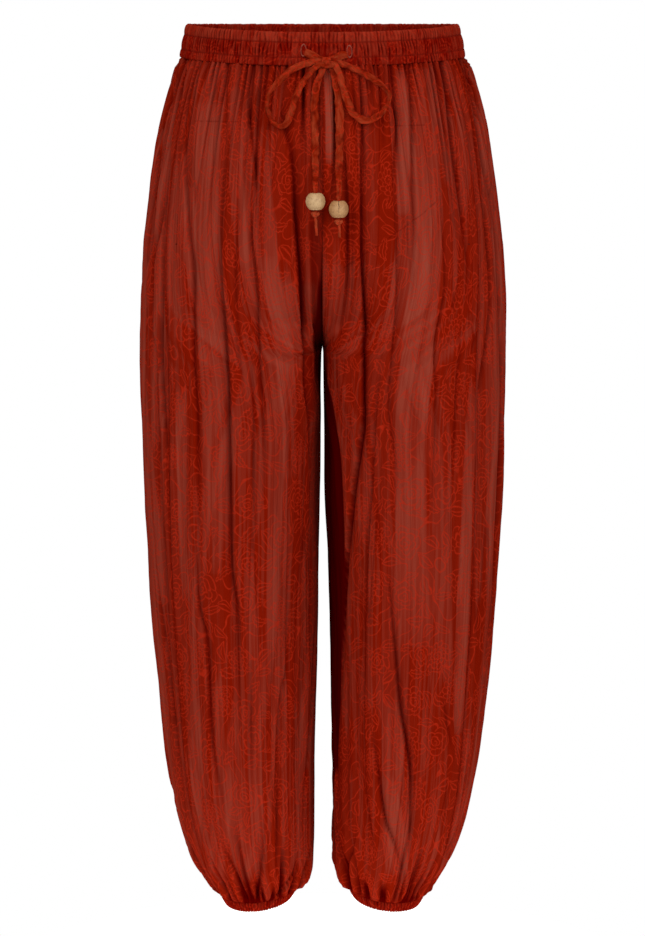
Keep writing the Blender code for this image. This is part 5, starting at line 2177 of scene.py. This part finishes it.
@dataclass
class HaremPants:
    """The garment, piece by piece."""

    front_cut: Pair = (0.25, 0.225)
    back_cut: Pair = (0.44, 0.385)

    def build(self) -> None:
        """Builds the drawstring first, then the cloth and its stitching."""
        cord_cloth = PrintedCrepe("drawstring_viscose_crepe", deep="#841c06", pale="#aa4528",
                                  ink_strength=0.75, streak_mm=(2.4, 9), crinkle_mm=(1.2, 1.8),
                                  laps_mm=((3.4, 20, 0.5),)).build()
        plain = TurnedWood("turned_schima_wood", BEAD_RIGHT).build()
        split = TurnedWood("split_schima_wood", BEAD_LEFT, pale="#c49460", dark="#9a6438",
                           split=True).build()
        Tie(cord_cloth, {Side.LEFT: split, Side.RIGHT: plain}).build()

        cloth = PrintedCrepe("printed_viscose_crepe", press_creases=PRESS_CREASES).build()
        shirred = PrintedCrepe("shirred_viscose_crepe", deep="#7a0c02", pale="#96301e",
                               ink_strength=0.6, crinkle_mm=(1.6, 42),
                               laps_mm=((6, 12, 0.6), (3, 9, 0.4))).build()
        thread = Thread("spun_polyester_thread", "#7f1d10").build()
        pale_thread = Thread("buttonhole_thread", "#aa5444").build()
        panels = (
            LegPanel(Side.LEFT, Face.FRONT, cloth, FRONT_LEFT_CREASES, FRONT_LEFT_LIGHT_PATCHES,
                     *self.front_cut, 101, 0.02, shades=FRONT_LEFT_SHADES, cleft=0),
            LegPanel(Side.RIGHT, Face.FRONT, cloth, FRONT_RIGHT_CREASES, FRONT_RIGHT_LIGHT_PATCHES,
                     *self.front_cut, 202, 0.71, shades=FRONT_RIGHT_SHADES, cleft=0.008),
            LegPanel(Side.LEFT, Face.BACK, cloth, BACK_LEFT_CREASES, BACK_LIGHT_PATCHES, *self.back_cut,
                     303, 1.53),
            LegPanel(Side.RIGHT, Face.BACK, cloth, BACK_RIGHT_CREASES, BACK_LIGHT_PATCHES, *self.back_cut,
                     404, 2.96))
        for panel in panels:
            panel.build()
        for front in panels[:2]:
            pocket = PocketBag(front, thread)
            pocket.build()
            pocket.topstitch()
        casing = WaistCasing(shirred, thread)
        casing.build()
        casing.sew()
        Eyelet(Side.LEFT, casing, pale_thread, 0.0268, 0.42).build()
        Eyelet(Side.RIGHT, casing, pale_thread, -0.019, 0.46).build()
        for side in Side:
            AnkleCuff(side, shirred).build()


# Studio


@dataclass
class Studio:
    """Camera, soft lights and the white paper."""

    camera_place: Place = (0, -3.2, 0.0165)
    camera_drop: float = 8.4808
    lens: float = 114.27
    floor: float = -1.06
    paper_radius: float = 0.4
    surround: float = 0.5
    # Each light's place, what it points at, its side's length and its power in watts.
    lights: tuple[tuple[str, Place, Place, float, float], ...] = (
        ("key_light", (-1.9, -2.7, 1.3), (0, 0, -0.26), 1.4, 28),
        ("fill_light", (2.1, -2.5, 0.9), (0, 0, -0.24), 1.4, 28),
        ("front_light", (0.1, -3.4, 0.5), (0, 0, -0.3), 1.6, 17),
        ("top_light", (0, 0.4, 2.4), (0, 0, -0.3), 2, 14),
        ("back_light", (0.4, 3.4, 0.6), (0, 0, -0.5), 2, 34))

    def camera(self) -> None:
        """Sets the camera."""
        data = bpy.data.cameras.new("camera")
        data.lens = self.lens
        data.sensor_width = 36
        camera = bpy.data.objects.new("camera", data)
        camera.location = self.camera_place
        camera.rotation_euler = (math.radians(90 - self.camera_drop), 0, 0)
        bpy.context.scene.collection.objects.link(camera)
        bpy.context.scene.camera = camera
        bpy.context.scene.view_settings.view_transform = "Standard"

    def surroundings(self) -> None:
        """White all round: seen as plain white, and lighting the cloth more softly."""
        world = bpy.data.worlds.new("white_surround")
        world.use_nodes = True
        add = partial(node, world.node_tree)
        seen = add("LightPath").outputs["Is Camera Ray"]
        add(world.node_tree.nodes["Background"], Color="#ffffff",
            Strength=add("MapRange", seen, 0, 1, self.surround, 1))
        bpy.context.scene.world = world

    def paper(self) -> None:
        """Lays the paper below the garment."""
        pick()
        bpy.ops.mesh.primitive_circle_add(vertices=96, radius=self.paper_radius,
                                          fill_type="NGON", location=(0, 0, self.floor))
        sheet = bpy.context.object
        sheet.name = "studio_floor"
        bpy.ops.object.transform_apply(location=True)
        sheet.data.materials.append(StudioPaper().build())
        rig.stage(sheet)

    def build(self) -> None:
        """Lights the garment from the front left, the front right and above."""
        self.surroundings()
        self.paper()
        for name, place, aim, size, power in self.lights:
            data = bpy.data.lights.new(name, "AREA")
            data.size, data.energy = size, power
            lamp = bpy.data.objects.new(name, data)
            lamp.location = place
            lamp.rotation_euler = (Vector(aim) - Vector(place)).to_track_quat("-Z", "Y").to_euler()
            bpy.context.scene.collection.objects.link(lamp)


def main() -> None:
    """Builds the studio and the garment in order, and notes both boxes."""
    logging.basicConfig(level=logging.INFO, format="%(message)s")
    studio = Studio()
    studio.camera()
    HaremPants().build()
    studio.build()
    boxes = {"cad": [list(corner) for corner in CAD_BOX],
             "looks": [list(corner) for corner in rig.bounds()]}
    with open(SIZE_FILE, "w") as file:
        json.dump(boxes, file, indent=1)
    LOG.info("boxes: %s", boxes)


if __name__ == "__main__":
    main()
